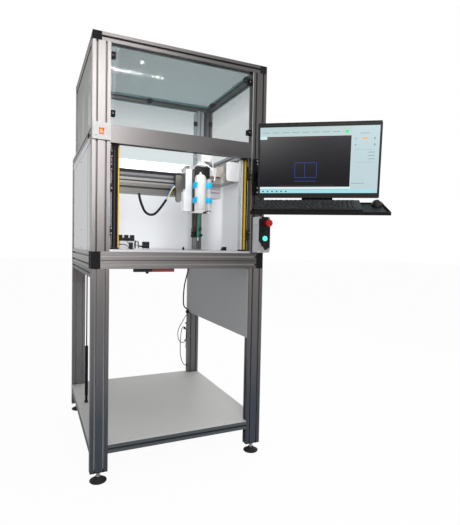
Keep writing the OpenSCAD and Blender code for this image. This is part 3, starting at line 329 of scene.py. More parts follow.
# Finish of every node that keeps its solid
NODE_FINISHES = {
    "leg_profile": "legs",
    "front_profile": "front_posts",
    "rear_profile": "rear_posts",
    "inner_profile": "inner_posts",
    "beam_profile": "cross_beam",
    "rail_profile": "mid_rails",
    "top_profile": "top_rails",
    "loop_profile": "loop_rails",
    "cap_plastic": "frame_caps",
    "clamp_plastic": "panel_clamps",
    "pale_plastic": "switch_plate drive_motor cartridge",
    "housing": "z_housing",
    "profile_dark": "lower_rails",
    "beam_skin": "gantry_beams",
    "module_skin": "x_module",
    "support_skin": "x_support",
    "brown_metal": "gantry_carriages",
    "carriage_metal": "x_carriage",
    "slide_metal": "head_slide",
    "bracket_metal": "nozzle_bracket",
    "bare_plate": "table_plate",
    "sensor": "sensor_unit",
    "terminal": "terminal_block",
    "rail_block": "rail_fitting",
    "white_sheet": "lower_sheets",
    "grey_sheet": "apron_plate",
    "shelf_sheet": "shelf_plate",
    "black_metal": "gas_strut arm_base tray_bracket keyboard_tray",
    "curtain_body": "light_curtains",
    "link_metal": "lower_link upper_link head_swivel",
    "black_plastic": "cable_fittings table_stops reset_button stop_button drive_block monitor",
    "station_face": "control_plate",
    "key_plastic": "keyboard_mouse",
    "foot": "levelling_feet",
    "white_plastic": "beam_covers",
    "light_grey": "control_box",
    "blue_plastic": "cartridge_clips",
    "red_plastic": "estop_button",
    "clear_panel": "front_panel",
    "guard_panel": "guard_panels",
    "clear_tube": "clear_cylinder",
    "green_mixer": "static_mixer",
    "lit_green": "start_button",
    "lit_red": "rocker",
}


class CellFinishes(bpy.types.PropertyGroup):
    profile: bpy.props.FloatVectorProperty(
        name="Profile", description="Colour of the anodised profiles", subtype="COLOR",
        default=(0.15, 0.139, 0.137), min=0, max=1)
    shaded_profile: bpy.props.FloatVectorProperty(
        name="Shelf rails", description="Colour of the rails beside the shelf", subtype="COLOR",
        default=(0.09, 0.1, 0.112), min=0, max=1)
    sheet: bpy.props.FloatVectorProperty(
        name="White sheet", description="Colour of the white painted sheets", subtype="COLOR",
        default=(0.85, 0.86, 0.88), min=0, max=1)
    plate: bpy.props.FloatVectorProperty(
        name="Grey plate", description="Colour of the grey painted plates", subtype="COLOR",
        default=(0.35, 0.36, 0.37), min=0, max=1)
    tint: bpy.props.FloatVectorProperty(
        name="Clear panel", description="Tint of the clear panels", subtype="COLOR",
        default=(0.2, 0.38, 0.4), min=0, max=1)
    panel_cover: bpy.props.FloatProperty(
        name="Panel haze", description="How much of the view a clear panel covers",
        default=0.1, min=0, max=1, subtype="FACTOR")
    clip: bpy.props.FloatVectorProperty(
        name="Clips", description="Colour of the cartridge clips", subtype="COLOR",
        default=(0.0, 0.44, 0.9), min=0, max=1)
    lit_green: bpy.props.FloatVectorProperty(
        name="Lit button", description="Glow of the start button", subtype="COLOR",
        default=(0.05, 0.9, 0.62), min=0, max=1)


class CellSizes(bpy.types.PropertyGroup):
    lens: bpy.props.FloatProperty(
        name="Lens", description="Focal length of the camera on a 36 mm sensor, in millimetres",
        default=33.79, min=10)
    camera_yaw: bpy.props.FloatProperty(
        name="Camera yaw", description="Turn of the camera to the right of straight back",
        default=math.radians(24.70), subtype="ANGLE")
    camera_pitch: bpy.props.FloatProperty(
        name="Camera pitch", description="Tilt of the camera upwards",
        default=math.radians(-2.17), subtype="ANGLE")
    camera_roll: bpy.props.FloatProperty(
        name="Camera roll", description="Roll of the camera",
        default=math.radians(1.11), subtype="ANGLE")
    camera_place: bpy.props.FloatVectorProperty(
        name="Camera place", description="Where the camera stands", subtype="XYZ", unit="LENGTH",
        default=(-0.6834, -2.5226, 1.1053))
    screw_radius: bpy.props.FloatProperty(
        name="Screw head", description="Radius of a sheet screw's head", subtype="DISTANCE",
        default=0.0048, min=0.001)
    key_pitch: bpy.props.FloatProperty(
        name="Key pitch", description="Distance between two keys", subtype="DISTANCE",
        default=0.0185, min=0.01)
    monitor_turn: bpy.props.FloatProperty(
        name="Monitor turn", description="Turn of the monitor about the vertical",
        default=math.radians(-34), subtype="ANGLE")
    monitor_tilt: bpy.props.FloatProperty(
        name="Monitor tilt", description="Forward tilt of the monitor, and of the tray to it",
        default=math.radians(8), subtype="ANGLE")


class Signal:
    """One output of a node tree, written in sums as a plain number would be."""

    def __init__(self, tree, socket):
        self.tree = tree
        self.socket = socket

    def maths(self, operation, *others):
        node = self.tree.nodes.new("ShaderNodeMath")
        node.operation = operation
        for place, value in enumerate((self, *others)):
            plug(self.tree, node.inputs[place], value)
        return Signal(self.tree, node.outputs[0])

    def __add__(self, other):
        return self.maths("ADD", other)

    def __sub__(self, other):
        return self.maths("SUBTRACT", other)

    def __rsub__(self, other):
        return self.maths("MULTIPLY_ADD", -1.0, other)

    def __mul__(self, other):
        return self.maths("MULTIPLY", other)

    def __gt__(self, other):
        return self.maths("GREATER_THAN", other)

    def __lt__(self, other):
        return self.maths("LESS_THAN", other)


def plug(tree, socket, value):
    if isinstance(value, Signal):
        tree.links.new(value.socket, socket)
    else:
        socket.default_value = value


class Finish:
    """A material with one main shader; node() adds any other node to it."""

    def __init__(self, name, colour, roughness, metallic=0.0, **fixed):
        self.name = name
        self.material = bpy.data.materials.new(name)
        self.material.use_nodes = True
        self.tree = self.material.node_tree
        self.shader = self.tree.nodes["Principled BSDF"]
        self.colour(tuple(colour))
        self.set("Roughness", roughness)
        self.set("Metallic", metallic)
        for socket, value in fixed.items():
            self.set(socket.replace("_", " "), value)

    def set(self, socket, value):
        if isinstance(value, tuple) and len(value) == 3:
            value = (*value, 1)
        plug(self.tree, self.shader.inputs[socket], value)
        return self

    def colour(self, value):
        return self.set("Base Color", value)

    def own_colour(self):
        return Signal(self.tree, self.shader.inputs["Base Color"].links[0].from_socket)

    def node(self, kind, settings=None, sockets=None, output=0):
        node = self.tree.nodes.new("ShaderNode" + kind)
        for name, value in (settings or {}).items():
            setattr(node, name, value)
        for name, value in (sockets or {}).items():
            plug(self.tree, node.inputs[name], value)
        return Signal(self.tree, node.outputs[output])

    def place(self):
        return self.node("TexCoord", output="Object")

    def along(self, axis, coordinates="Object"):
        vector = self.node("TexCoord", output=coordinates)
        return self.node("SeparateXYZ", sockets={"Vector": vector}, output=axis)

    def stretched(self, scale):
        return self.node("Mapping", sockets={"Vector": self.place(), "Scale": scale})

    def noise(self, scale, detail, vector=None):
        sockets = {"Vector": vector or self.place(), "Scale": scale, "Detail": detail}
        return self.node("TexNoise", sockets=sockets)

    def ramp(self, value, low, high):
        """Zero at the low end and one at the high one."""
        return self.node("MapRange", sockets={"Value": value, "From Min": low, "From Max": high})

    def blend(self, factor, low, high):
        low = low if isinstance(low, Signal) else (*low, 1)
        high = high if isinstance(high, Signal) else (*high, 1)
        mix = self.tree.nodes.new("ShaderNodeMix")
        mix.data_type = "RGBA"
        sockets = (mix.inputs[0], mix.inputs[6], mix.inputs[7])
        for socket, value in zip(sockets, (factor, low, high)):
            plug(self.tree, socket, value)
        return Signal(self.tree, mix.outputs[2])

    def bump(self, height, strength, distance):
        sockets = {"Height": height, "Strength": strength, "Distance": distance}
        return self.set("Normal", self.node("Bump", sockets=sockets))

    def within(self, *limits):
        """One where the place lies inside every limit, given as axis, low and high in metres."""
        inside = None
        for axis, low, high in limits:
            reach = self.along(axis)
            here = (reach > low) * (reach < high)
            inside = here if inside is None else inside * here
        return inside

    def zoned(self, *zones):
        """Gives stretches of a piece another colour: each zone is a colour and its limits."""
        colour = self.own_colour()
        for other, *limits in zones:
            colour = self.blend(self.within(*limits), colour, other)
        return self.colour(colour)

    def fading(self, axis, low, high, colour):
        """Lets the colour pass into another one towards the low end of the axis."""
        return self.colour(self.blend(self.ramp(self.along(axis), low, high), colour,
                                      self.own_colour()))

    def slot_light_and_shade(self, axis, first=0.0, half=HALF_SLOT, colour=(0.085, 0.079, 0.078)):
        """Paints the slots, which lie in the middle of every module from the first edge on, in
        another colour: painted shade by default, painted light where the given colour is brighter.
        """
        reach = ((self.along(axis) - first) * (1 / MODULE)).maths("FRACT")
        slot = (reach - 0.5).maths("ABSOLUTE") < half / MODULE
        return self.colour(self.blend(slot, self.own_colour(), colour))

    def metal(self, outside, inside, *limits):
        return self.set("Metallic", self.within(*limits) * (inside - outside) + outside)


def shade(colour, share):
    return tuple(min(1.0, channel * share) for channel in colour)


def drawn_profile(name, colour, axis, roughness=0.32):
    """Anodised profile: fine drawing lines along its length and a faint cloud of tone."""
    finish = Finish(name, colour, roughness, ANODISED)
    fine, slow = 620.0, 2.5
    scale = [fine, fine, fine]
    scale["XYZ".index(axis)] = slow
    lines = finish.noise(1.0, 2.0, finish.stretched(tuple(scale)))
    cloud = finish.noise(3.0, 2.0)
    tone = lines * 0.5 + cloud * 0.5
    finish.colour(finish.blend(tone, shade(colour, 0.86), shade(colour, 1.14)))
    finish.set("Roughness", lines * 0.16 + (roughness - 0.08))
    return finish.bump(lines, 0.06, 0.0002)


def powder_coat(name, colour, roughness=0.42, grain=900.0, depth=0.08, shine=0.2):
    """Painted sheet with the fine orange peel of powder coat."""
    finish = Finish(name, colour, roughness, Specular_IOR_Level=shine)
    peel = finish.noise(grain, 2.0)
    cloud = finish.noise(4.0, 3.0)
    finish.colour(finish.blend(cloud, shade(colour, 0.94), shade(colour, 1.05)))
    finish.set("Roughness", cloud * 0.12 + (roughness - 0.06))
    return finish.bump(peel, depth, 0.0003)


def moulded(name, colour, roughness=0.45, grain=1400.0, depth=0.12, shine=0.2):
    """Moulded plastic with a fine spark-eroded grain."""
    finish = Finish(name, colour, roughness, Specular_IOR_Level=shine)
    spark = finish.noise(grain, 3.0)
    rub = finish.noise(26.0, 4.0)
    finish.colour(finish.blend(rub, shade(colour, 0.85), shade(colour, 1.2)))
    finish.set("Roughness", rub * 0.16 + (roughness - 0.08))
    return finish.bump(spark, depth, 0.0002)


def machined(name, colour, roughness):
    """Milled or turned metal with light tool marks."""
    finish = Finish(name, colour, roughness, BARE)
    marks = finish.noise(1.0, 2.0, finish.stretched((700.0, 60.0, 700.0)))
    finish.colour(finish.blend(marks, shade(colour, 0.88), shade(colour, 1.1)))
    finish.set("Roughness", marks * 0.2 + (roughness - 0.1))
    return finish.bump(marks, 0.05, 0.0002)


def clear_sheet(name, tint, cover, shine=0.7):
    """Clear panel that is seen through."""
    finish = Finish(name, tint, 0.04, Specular_IOR_Level=shine)
    smear = finish.noise(1.3, 2.0)
    finish.colour(finish.blend(smear, shade(tint, 0.95), shade(tint, 1.05)))
    return finish.set("Alpha", smear * 0.02 + (cover - 0.01))


def glowing(name, colour, glow):
    """Lens of a lit button."""
    finish = Finish(name, colour, 0.3, Coat_Weight=0.4, Emission_Strength=1.0)
    haze = finish.noise(120.0, 2.0)
    finish.colour(finish.blend(haze, shade(colour, 0.9), shade(colour, 1.1)))
    return finish.set("Emission Color", finish.blend(haze, shade(glow, 0.85), shade(glow, 1.1)))


def screen_picture():
    """Generic work screen: dark drawing field with a wire box, pale bars and a side panel."""
    finish = Finish("screen_picture", (0, 0, 0), 0.22, Emission_Strength=1.0,
                    Specular_IOR_Level=0.15)
    across = finish.along("X", "UV")
    up = finish.along("Y", "UV")

    def field(left, right, low, high):
        return (across > left) * (across < right) * (up > low) * (up < high)

    pale, side = (0.57, 0.72, 0.73), (0.45, 0.57, 0.6)
    dark, cyan = (0.009, 0.009, 0.012), (0.33, 0.66, 0.7)
    blue, red, ink = (0.035, 0.06, 0.3), (0.22, 0.015, 0.03), (0.18, 0.24, 0.27)
    green, amber = (0.03, 0.7, 0.25), (0.75, 0.4, 0.15)
    colour = finish.blend(up, shade(pale, 1.1), shade(pale, 0.74))
    sheen = (1 - across) * up
    dark = finish.blend(sheen * sheen * 1.3, dark, (0.11, 0.11, 0.112))
    areas = [
        ((0.775, 1.0, 0.0, 1.0), side), ((0.0, 0.77, 0.095, 0.86), dark),
        ((0.0, 0.97, 0.0, 0.055), cyan), ((0.0, 0.06, 0.82, 0.862), pale),
    ]
    # Icons of the lower bar, entries of the upper one, fields of the side panel, axes
    marks = [((0.02 + 0.04 * k, 0.035 + 0.04 * k, 0.015, 0.035), blue) for k in range(6)]
    marks += [((0.02 + 0.085 * k, 0.08 + 0.085 * k, 0.915, 0.922), ink) for k in range(8)]
    marks += [((0.0, 0.77, 0.055, 0.06), ink), ((0.72, 0.745, 0.90, 0.945), green)]
    marks += [((0.80, 0.81, z, z + 0.018), ink) for z in (0.80, 0.71)]
    marks += [((0.955, 0.965, z, z + 0.03), ink) for z in (0.795, 0.705)]
    marks += [((0.86, 0.90, 0.80, 0.83), amber), ((0.84, 0.92, 0.885, 0.892), ink)]
    marks += [((0.80, 0.96, z, z + 0.003), ink) for z in (0.65, 0.46)]
    marks += [((0.91, 0.965, z, z + 0.008), ink) for z in (0.605, 0.555, 0.505)]
    marks += [((0.78, 0.89, 0.145, 0.150), red), ((0.16, 0.64, 0.115, 0.119), red)]
    marks += [((0.08, 0.6, 0.835, 0.839), red)]
    box_left, box_right, box_low, box_top, line = 0.30, 0.485, 0.235, 0.46, 0.0035
    for x in (box_left, 0.385, box_right):
        marks.append(((x, x + line, box_low, box_top), blue))
    for z in (box_low, box_top, box_low - 0.055):
        marks.append(((box_left, box_right, z, z + 2 * line), blue))
    for limits, tone in areas + marks:
        colour = finish.blend(field(*limits), colour, tone)
    finish.colour(finish.blend(0.85, colour, (0, 0, 0)))
    return finish.set("Emission Color", colour)


def guard_panel(tint):
    """Side, rear and roof panels; the rear and the right one pale downwards, and the left one
    carries a painted reflection that makes it paler and less clear.
    """
    finish = clear_sheet("guard_panel", tint, 0.5, 0.0)
    high = finish.ramp(finish.along("Z"), 1.86, 2.0)
    roof = finish.within(("Z", 2.03, 2.06))
    # Painted reflection: the left panel is paler and covers more of the view
    left = finish.within(("Z", 1.6, 2.03), ("X", -0.45, -0.42))
    cover = high * 0.18 + 0.2
    cover = cover + left * (0.45 - cover)
    finish.colour(finish.blend(left, finish.own_colour(), (0.8, 0.81, 0.79)))
    return finish.set("Alpha", cover + roof * (0.5 - cover))


def rail_profile(colour):
    """Middle rails; the front one has a painted highlight that fades to the right, painted
    highlights in its slots and a dark seam; the slots of the other faces get painted shade.
    """
    finish = drawn_profile("rail_profile", shade(colour, 1.5), "Y")
    # Painted shade in the slots
    finish.slot_light_and_shade("Z", 0.99, HALF_SLOT, shade(colour, 0.95))
    # Painted light on the front face, fading to the right
    across = finish.blend(finish.ramp(finish.along("X"), -0.4, 0.3), shade(colour, 1.8),
                          shade(colour, 0.78))
    # Painted highlights in the front slots
    for low in (1.0056, 1.0456):
        slot = finish.within(("Z", low, low + 2 * HALF_SLOT))
        across = finish.blend(slot * 0.3, across, (0.8, 0.78, 0.76))
    seam = finish.within(("Z", 1.0278, 1.0322))
    across = finish.blend(seam * 0.7, across, (0.02, 0.02, 0.02))
    front = finish.within(("Y", -0.51, -0.459))
    return finish.colour(finish.blend(front, finish.own_colour(), across))


def station_face():
    """Black front plate with a pointed lower end on a grey ground."""
    finish = moulded("station_face", (0.011, 0.011, 0.012))
    # Painted shade of the stop button's red cap: a dark red patch on the plate round the button
    finish.zoned(((0.1, 0.007, 0.009), ("X", 0.39, 0.44), ("Y", -0.6, -0.5715), ("Z", 1.2, 1.25)))
    across, up = finish.along("X") - 0.411, finish.along("Z") - 1.086
    edge = (across * -1.33).maths("MAXIMUM", across * 0.55)
    return finish.colour(finish.blend(up < edge, finish.own_colour(), (0.42, 0.39, 0.39)))


def lit_rocker():
    """Red rocker with an amber lamp behind its upper part."""
    red, lamp = (0.55, 0.015, 0.01), (-0.4025, -0.513, 1.611)
    finish = Finish("lit_red", red, 0.3, Coat_Weight=0.4, Emission_Strength=1.0)
    away = finish.node("VectorMath", {"operation": "DISTANCE"}, {0: finish.place(), 1: lamp}, 1)
    glow = finish.ramp(away, 0.002, 0.011)
    finish.colour(finish.blend(glow, (0.9, 0.3, 0.03), red))
    amber, dull = (1.0, 0.32, 0.02), (0.28, 0.006, 0.003)
    return finish.set("Emission Color", finish.blend(glow, amber, dull))


def make_finishes():
    """All finishes of the cell, by name."""
    tone = bpy.context.scene.cell_finishes
    made = [
        drawn_profile("profile_dark", tone.shaded_profile, "Y"),
        drawn_profile("loop_profile", tone.profile, "Y"),
        drawn_profile("rear_profile", tone.profile, "Z"),
        rail_profile(tone.profile),
        powder_coat("white_sheet", tone.sheet),
        powder_coat("grey_sheet", tone.plate, 0.5),
        moulded("blue_plastic", tone.clip, 0.3, *SMOOTH),
        clear_sheet("clear_panel", (0.1, 0.12, 0.12), tone.panel_cover, 0.5),
        clear_sheet("clear_tube", (0.7, 0.68, 0.69), 0.36),
        guard_panel(tone.tint),
        station_face(),
        glowing("lit_green", (0.1, 0.8, 0.6), tone.lit_green),
        lit_rocker(),
        screen_picture(),
    ]
    for make, table in ((drawn_profile, PROFILES), (machined, MACHINED), (powder_coat, COATED),
                        (moulded, MOULDED)):
        made += [make(name, *values) for name, values in table.items()]
    made = {finish.name: finish for finish in made}
    for name, fade in FADES.items():
        made[name].fading(*fade)
    for name, zones in ZONES.items():
        made[name].zoned(*zones)
    for name, groove in SLOT_LIGHT_AND_SHADE.items():
        made[name].slot_light_and_shade(*groove)
    # Painted shade in the gap and a painted highlight on the right front post's edge
    made["front_profile"].zoned(*GAP_SHADE_AND_HIGHLIGHT)
    for name, stretch in METAL_ZONES.items():
        made[name].metal(*stretch)
    return {name: finish.material for name, finish in made.items()}


finishes = {}


def deselect():
    if bpy.context.mode != "OBJECT":
        bpy.ops.object.mode_set(mode="OBJECT")
    bpy.ops.object.select_all(action="DESELECT")


def take(piece):
    deselect()
    piece.select_set(True)
    bpy.context.view_layer.objects.active = piece


def named(name):
    piece = bpy.context.active_object
    piece.name = name
    piece.data.name = name
    return piece


def settle(piece):
    """Moves the piece's place into its mesh."""
    take(piece)
    bpy.ops.object.transform_apply(location=True, rotation=True, scale=True)
    return piece


def block(name, low, high):
    """Block between two corners given in millimetres."""
    deselect()
    middle = [(a + b) / 2 * MM for a, b in zip(low, high)]
    size = [(b - a) * MM for a, b in zip(low, high)]
    bpy.ops.mesh.primitive_cube_add(size=1, location=middle, scale=size)
    return settle(named(name))


def disc(name, radius, depth, sides=24):
    """Upright disc on the origin, sizes in metres."""
    deselect()
    bpy.ops.mesh.primitive_cylinder_add(vertices=sides, radius=radius, depth=depth,
                                        location=(0, 0, depth / 2))
    return settle(named(name))


def ring(radius, wall):
    """Ring round the origin, sizes in millimetres."""
    deselect()
    bpy.ops.mesh.primitive_torus_add(major_radius=radius * MM, minor_radius=wall * MM,
                                     major_segments=48, minor_segments=10)
    return named("ring")


def pick(piece, wanted):
    """Leaves the piece in edit mode with the wanted faces selected."""
    take(piece)
    bpy.ops.object.mode_set(mode="EDIT")
    bpy.ops.mesh.select_mode(type="FACE")
    bpy.ops.mesh.select_all(action="DESELECT")
    bpy.ops.object.mode_set(mode="OBJECT")
    for face in piece.data.polygons:
        face.select = wanted(face)
    bpy.ops.object.mode_set(mode="EDIT")


def soften(piece, width, segments=2):
    """Rounds the sharp edges."""
    take(piece)
    bpy.ops.object.modifier_add(type="BEVEL")
    bevel = piece.modifiers[-1]
    bevel.width = width
    bevel.segments = segments
    bevel.limit_method = "ANGLE"
    bevel.angle_limit = math.radians(40)
    bpy.ops.object.modifier_apply(modifier=bevel.name)
    bpy.ops.object.shade_smooth_by_angle(angle=math.radians(35))
    return piece


def sunk(piece, wanted, rim, depth):
    """Insets the wanted faces and lets them in."""
    pick(piece, wanted)
    bpy.ops.mesh.inset(thickness=rim)
    bpy.ops.mesh.inset(thickness=0.0, depth=-depth)
    bpy.ops.object.mode_set(mode="OBJECT")
    return piece


def spot(x, y, z, turn=None):
    """Place in a local frame, in millimetres."""
    place = Matrix.Translation(Vector((x, y, z)) * MM)
    return place @ turn if turn else place


def facing(point, direction):
    """Place of a piece whose own Z axis looks along the direction; the point is in millimetres."""
    return spot(*point, Vector(direction).to_track_quat("Z", "Y").to_matrix().to_4x4())


def grid(xs, ys, zs):
    """Every point of a grid, in millimetres."""
    return [(x, y, z) for x in xs for y in ys for z in zs]


def set_out(master, name, places):
    """Copies the master to each place and joins the copies to one piece."""
    copies = []
    for place in places:
        take(master)
        bpy.ops.object.duplicate(linked=False)
        copy = bpy.context.active_object
        copy.matrix_world = place
        copies.append(copy)
    take(master)
    bpy.ops.object.delete()
    take(copies[0])
    for copy in copies:
        copy.select_set(True)
    if len(copies) > 1:
        bpy.ops.object.join()
    return settle(named(name))


def dress(piece, body, finish):
    """Gives a piece its finish and body."""
    piece.data.materials.clear()
    piece.data.materials.append(finishes[finish])
    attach(piece, body)
    return piece


def socket_screw(radius, height):
    """Button-head screw with a round edge and a hexagon socket."""
    screw = disc("screw", radius, height)
    soften(screw, height * 0.45, 3)
    return sunk(screw, lambda face: face.normal.z > 0.99 and face.center.z > height * 0.9,
                radius * 0.2, height * 0.55)


def screws(name, body, points, direction, radius=None):
    radius = radius or bpy.context.scene.cell_sizes.screw_radius
    head = socket_screw(radius, radius * 0.5)
    piece = set_out(head, name, [facing(point, direction) for point in points])
    return dress(piece, body, "steel")


def smooth_route(points):
    """Points of a smooth curve through the given ones, in metres."""
    spots = [Vector(point) * MM for point in points]
    last = len(spots) - 1
    route = []
    for i in range(last):
        a, b, c, d = (spots[max(i - 1, 0)], spots[i], spots[i + 1], spots[min(i + 2, last)])
        for step in range(ROUTE_STEPS):
            t = step / ROUTE_STEPS
            route.append(0.5 * (2 * b + (c - a) * t + (2 * a - 5 * b + 4 * c - d) * t * t
                                + (3 * b - a - 3 * c + d) * t ** 3))
    return route + [spots[last]]


def route_length(route):
    return sum((b - a).length for a, b in zip(route, route[1:]))


def run_cord(name, points, radius):
    """Round cord along the points, as one open curve."""
    route = smooth_route(points)
    line = bpy.data.curves.new(name, "CURVE")
    line.dimensions = "3D"
    line.bevel_depth = radius
    line.bevel_resolution = 4
    line.use_fill_caps = True
    spline = line.splines.new("POLY")
    spline.points.add(len(route) - 1)
    for spot_on_line, place in zip(spline.points, route):
        spot_on_line.co = (*place, 1)
    spline.use_smooth = True
    cord = bpy.data.objects.new(name, line)
    bpy.context.scene.collection.objects.link(cord)
    return cord, route


def bending_cord(name, points, radius, finish):
    """Round cord as a mesh, run between the gantry and the carriage."""
    line, route = run_cord(name, points, radius)
    line.data.materials.append(finishes[finish])
    take(line)
    bpy.ops.object.convert(target="MESH")
    cord = named(name)
    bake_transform(cord)
    return cord, route


def arm_frame(joint, tilt):
    """Place at a hinge of the arm, turned and tilted as the piece on it."""
    size = bpy.context.scene.cell_sizes
    turn = Matrix.Rotation(size.monitor_turn, 4, "Z") @ Matrix.Rotation(tilt, 4, "X")
    return Matrix.Translation(JOINTS[joint]["pos_m"]) @ turn


def tilt_frame():
    """Frame of the monitor: its own -Y is the way the screen faces."""
    return arm_frame("monitor_tilt", bpy.context.scene.cell_sizes.monitor_tilt)


def tray_frame():
    return arm_frame("tray_tilt", 2 * bpy.context.scene.cell_sizes.monitor_tilt)


class CELL_OT_stage(bpy.types.Operator):
    """Camera, floor, lamps and white surroundings"""

    bl_idname = "cell.stage"
    bl_label = "Stage"

    def execute(self, context):
        self.camera(context)
        self.floor()
        self.lamps()
        self.surroundings(context)
        context.scene.view_settings.view_transform = "Standard"
        return {"FINISHED"}

    def camera(self, context):
        size = context.scene.cell_sizes
        yaw, pitch, roll = size.camera_yaw, size.camera_pitch, size.camera_roll
        ahead = Vector((math.sin(yaw) * math.cos(pitch), math.cos(yaw) * math.cos(pitch),
                        math.sin(pitch)))
        level = Vector((math.cos(yaw), -math.sin(yaw), 0))
        above = level.cross(ahead)
        right = math.cos(roll) * level + math.sin(roll) * above
        up = math.cos(roll) * above - math.sin(roll) * level
        turn = Matrix((right, up, -ahead)).transposed().to_4x4()
        bpy.ops.object.camera_add()
        camera = named("camera")
        camera.matrix_world = Matrix.Translation(size.camera_place) @ turn
        camera.data.sensor_fit = "HORIZONTAL"
        camera.data.sensor_width = 36
        camera.data.lens = size.lens
        context.scene.camera = camera

    def floor(self):
        """Floor that is nearly white to the camera and plain grey to everything else"""
        bpy.ops.mesh.primitive_plane_add(size=60, location=(0, 0, -0.0005))
        floor = named("floor")
        finish = Finish("floor", (0.86, 0.86, 0.86), 0.8)
        tree = finish.tree
        white = finish.node("Emission", sockets={"Strength": 1.0})
        seen = finish.node("LightPath", output="Is Camera Ray") * 0.96
        mixer = tree.nodes.new("ShaderNodeMixShader")
        plug(tree, mixer.inputs[0], seen)
        tree.links.new(finish.shader.outputs[0], mixer.inputs[1])
        tree.links.new(white.socket, mixer.inputs[2])
        tree.links.new(mixer.outputs[0], tree.nodes["Material Output"].inputs["Surface"])
        floor.data.materials.append(finish.material)

    def lamps(self):
        for name, place, size, power, target in LAMPS:
            bpy.ops.object.light_add(type="AREA", location=place)
            lamp = named(name)
            lamp.data.shape = "RECTANGLE"
            lamp.data.size, lamp.data.size_y = size
            lamp.data.energy = power
            aim = Vector(target) - Vector(place)
            lamp.rotation_euler = aim.to_track_quat("-Z", "Y").to_euler()
            if name == "lamp_side":
                # It stands inside the work area, where it would cast hard shadows and be mirrored
                lamp.data.use_shadow = False
                lamp.visible_glossy = False

    def surroundings(self, context):
        """White to the camera and through panels, dimmer as a light on the cell"""
        world = bpy.data.worlds.new("surroundings")
        world.use_nodes = True
        context.scene.world = world
        tree = world.node_tree
        ray = tree.nodes.new("ShaderNodeLightPath")
        seen = Signal(tree, ray.outputs["Is Camera Ray"])
        mirrored = Signal(tree, ray.outputs["Is Glossy Ray"])
        through = Signal(tree, ray.outputs["Is Transmission Ray"])
        white = seen.maths("MAXIMUM", mirrored * 0.85).maths("MAXIMUM", through)
        background = tree.nodes["Background"]
        background.inputs["Color"].default_value = (1, 1, 1, 1)
        ambient = 0.5
        plug(tree, background.inputs["Strength"], white * (1 - ambient) + ambient)


class CELL_OT_finishes(bpy.types.Operator):
    """Makes the finishes and gives them to the nodes that keep their solids"""

    bl_idname = "cell.finishes"
    bl_label = "Finishes"

    def execute(self, context):
        finishes.update(make_finishes())
        for finish, nodes in NODE_FINISHES.items():
            for node in nodes.split():
                materials = frame["nodes"][node].data.materials
                materials.clear()
                materials.append(finishes[finish])
        return {"FINISHED"}


class CELL_OT_cords(bpy.types.Operator):
    """Cable and lead under the table, gantry cable with its wires, hoses of the head"""

    bl_idname = "cell.cords"
    bl_label = "Cords"

    def execute(self, context):
        for name, points, radius, finish, body, stiffness, lay, far_end, node in CORDS:
            cord, route = run_cord(name, points, radius)
            dress(cord, body, finish)
            if node:
                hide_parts(node)
            route_length(route)
        self.gantry_cable()
        return {"FINISHED"}

    def gantry_cable(self):
        """Sheath and wires, as tubes run between the gantry and the carriage"""
        radius, wire_radius, wire_step = 0.007, 0.0025, 4.6
        sheath, route = bending_cord("cord_gantry", GANTRY_ROUTE, radius, "cable_skin")
        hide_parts("gantry_cable")
        for across, wire in ((-1, "blue"), (0, "white"), (1, "yellow")):
            points = [(x, y - abs(across), z - wire_step * across) for x, y, z in WIRE_ROUTE]
            bending_cord("cord_wire_" + wire, points, wire_radius, "wire_" + wire)[0]
        route_length(route)


class CELL_OT_screws(bpy.types.Operator):
    """Screws of sheets, plates, clamps and brackets"""

    bl_idname = "cell.screws"
    bl_label = "Screws"

    def execute(self, context):
        for side, x, out in (("left", -434.0, LEFT), ("right", 434.0, RIGHT)):
            low = grid((x,), (-429, 0, 460), (1084, 1181, 1552)) + [(x, 459, 1345)]
            screws("sheet_screws_" + side, "cell", low, out)
            high = grid((x,), (-380, -110, 255), (1699, 1972))
            screws("panel_screws_" + side, "cell", high, out)
        rear = grid((-330, 0, 330), (494,), (1100, 1340, 1580))
        screws("rear_sheet_screws", "cell", rear, REAR)
        self.apron()
        shelf = grid((-257, 249), (-482, 482), (173,)) + grid((-420, 420), (-340, 0, 340), (173,))
        screws("shelf_screws", "cell", shelf, UP)
        plate = grid((-423, -381), (-512,), (1586.5, 1628))
        screws("switch_plate_screws", "cell", plate, FRONT, 0.0034)
        station = grid((384, 432), (-571,), (1084, 1252))
        screws("control_plate_screws", "cell", station, FRONT, 0.003)
        jaws = grid((-349, 349), (-487.5,), (1700, 1960))
        screws("clamp_screws", "cell", jaws, FRONT, 0.0042)
        arm = grid((392, 412), (-508,), (1390, 1412, 1535, 1552))
        screws("arm_plate_screws", "cell", arm, FRONT, 0.0045)
        self.monitor_mount()
        return {"FINISHED"}

    def apron(self):
        """Screws of the grey plate, with their nuts on its other side"""
        nuts = grid((360,), (-455, 455), (660, 945))
        nuts += [(360, -343, 970), (360, 476, 678), (360, 207, 788), (360, -368, 843)]
        screws("apron_screws", "cell", [(357, y, z) for _, y, z in nuts], LEFT)
        screws("apron_nuts", "cell", nuts, RIGHT)

    def monitor_mount(self):
        half = 37.5
        back = Matrix.Rotation(-math.pi / 2, 4, "X")
        places = [tilt_frame() @ spot(*point, back)
                  for point in grid((-half, half), (-16,), (-half, half))]
        dress(set_out(socket_screw(0.0042, 0.0024), "monitor_mount_screws", places), "display",
              "steel")


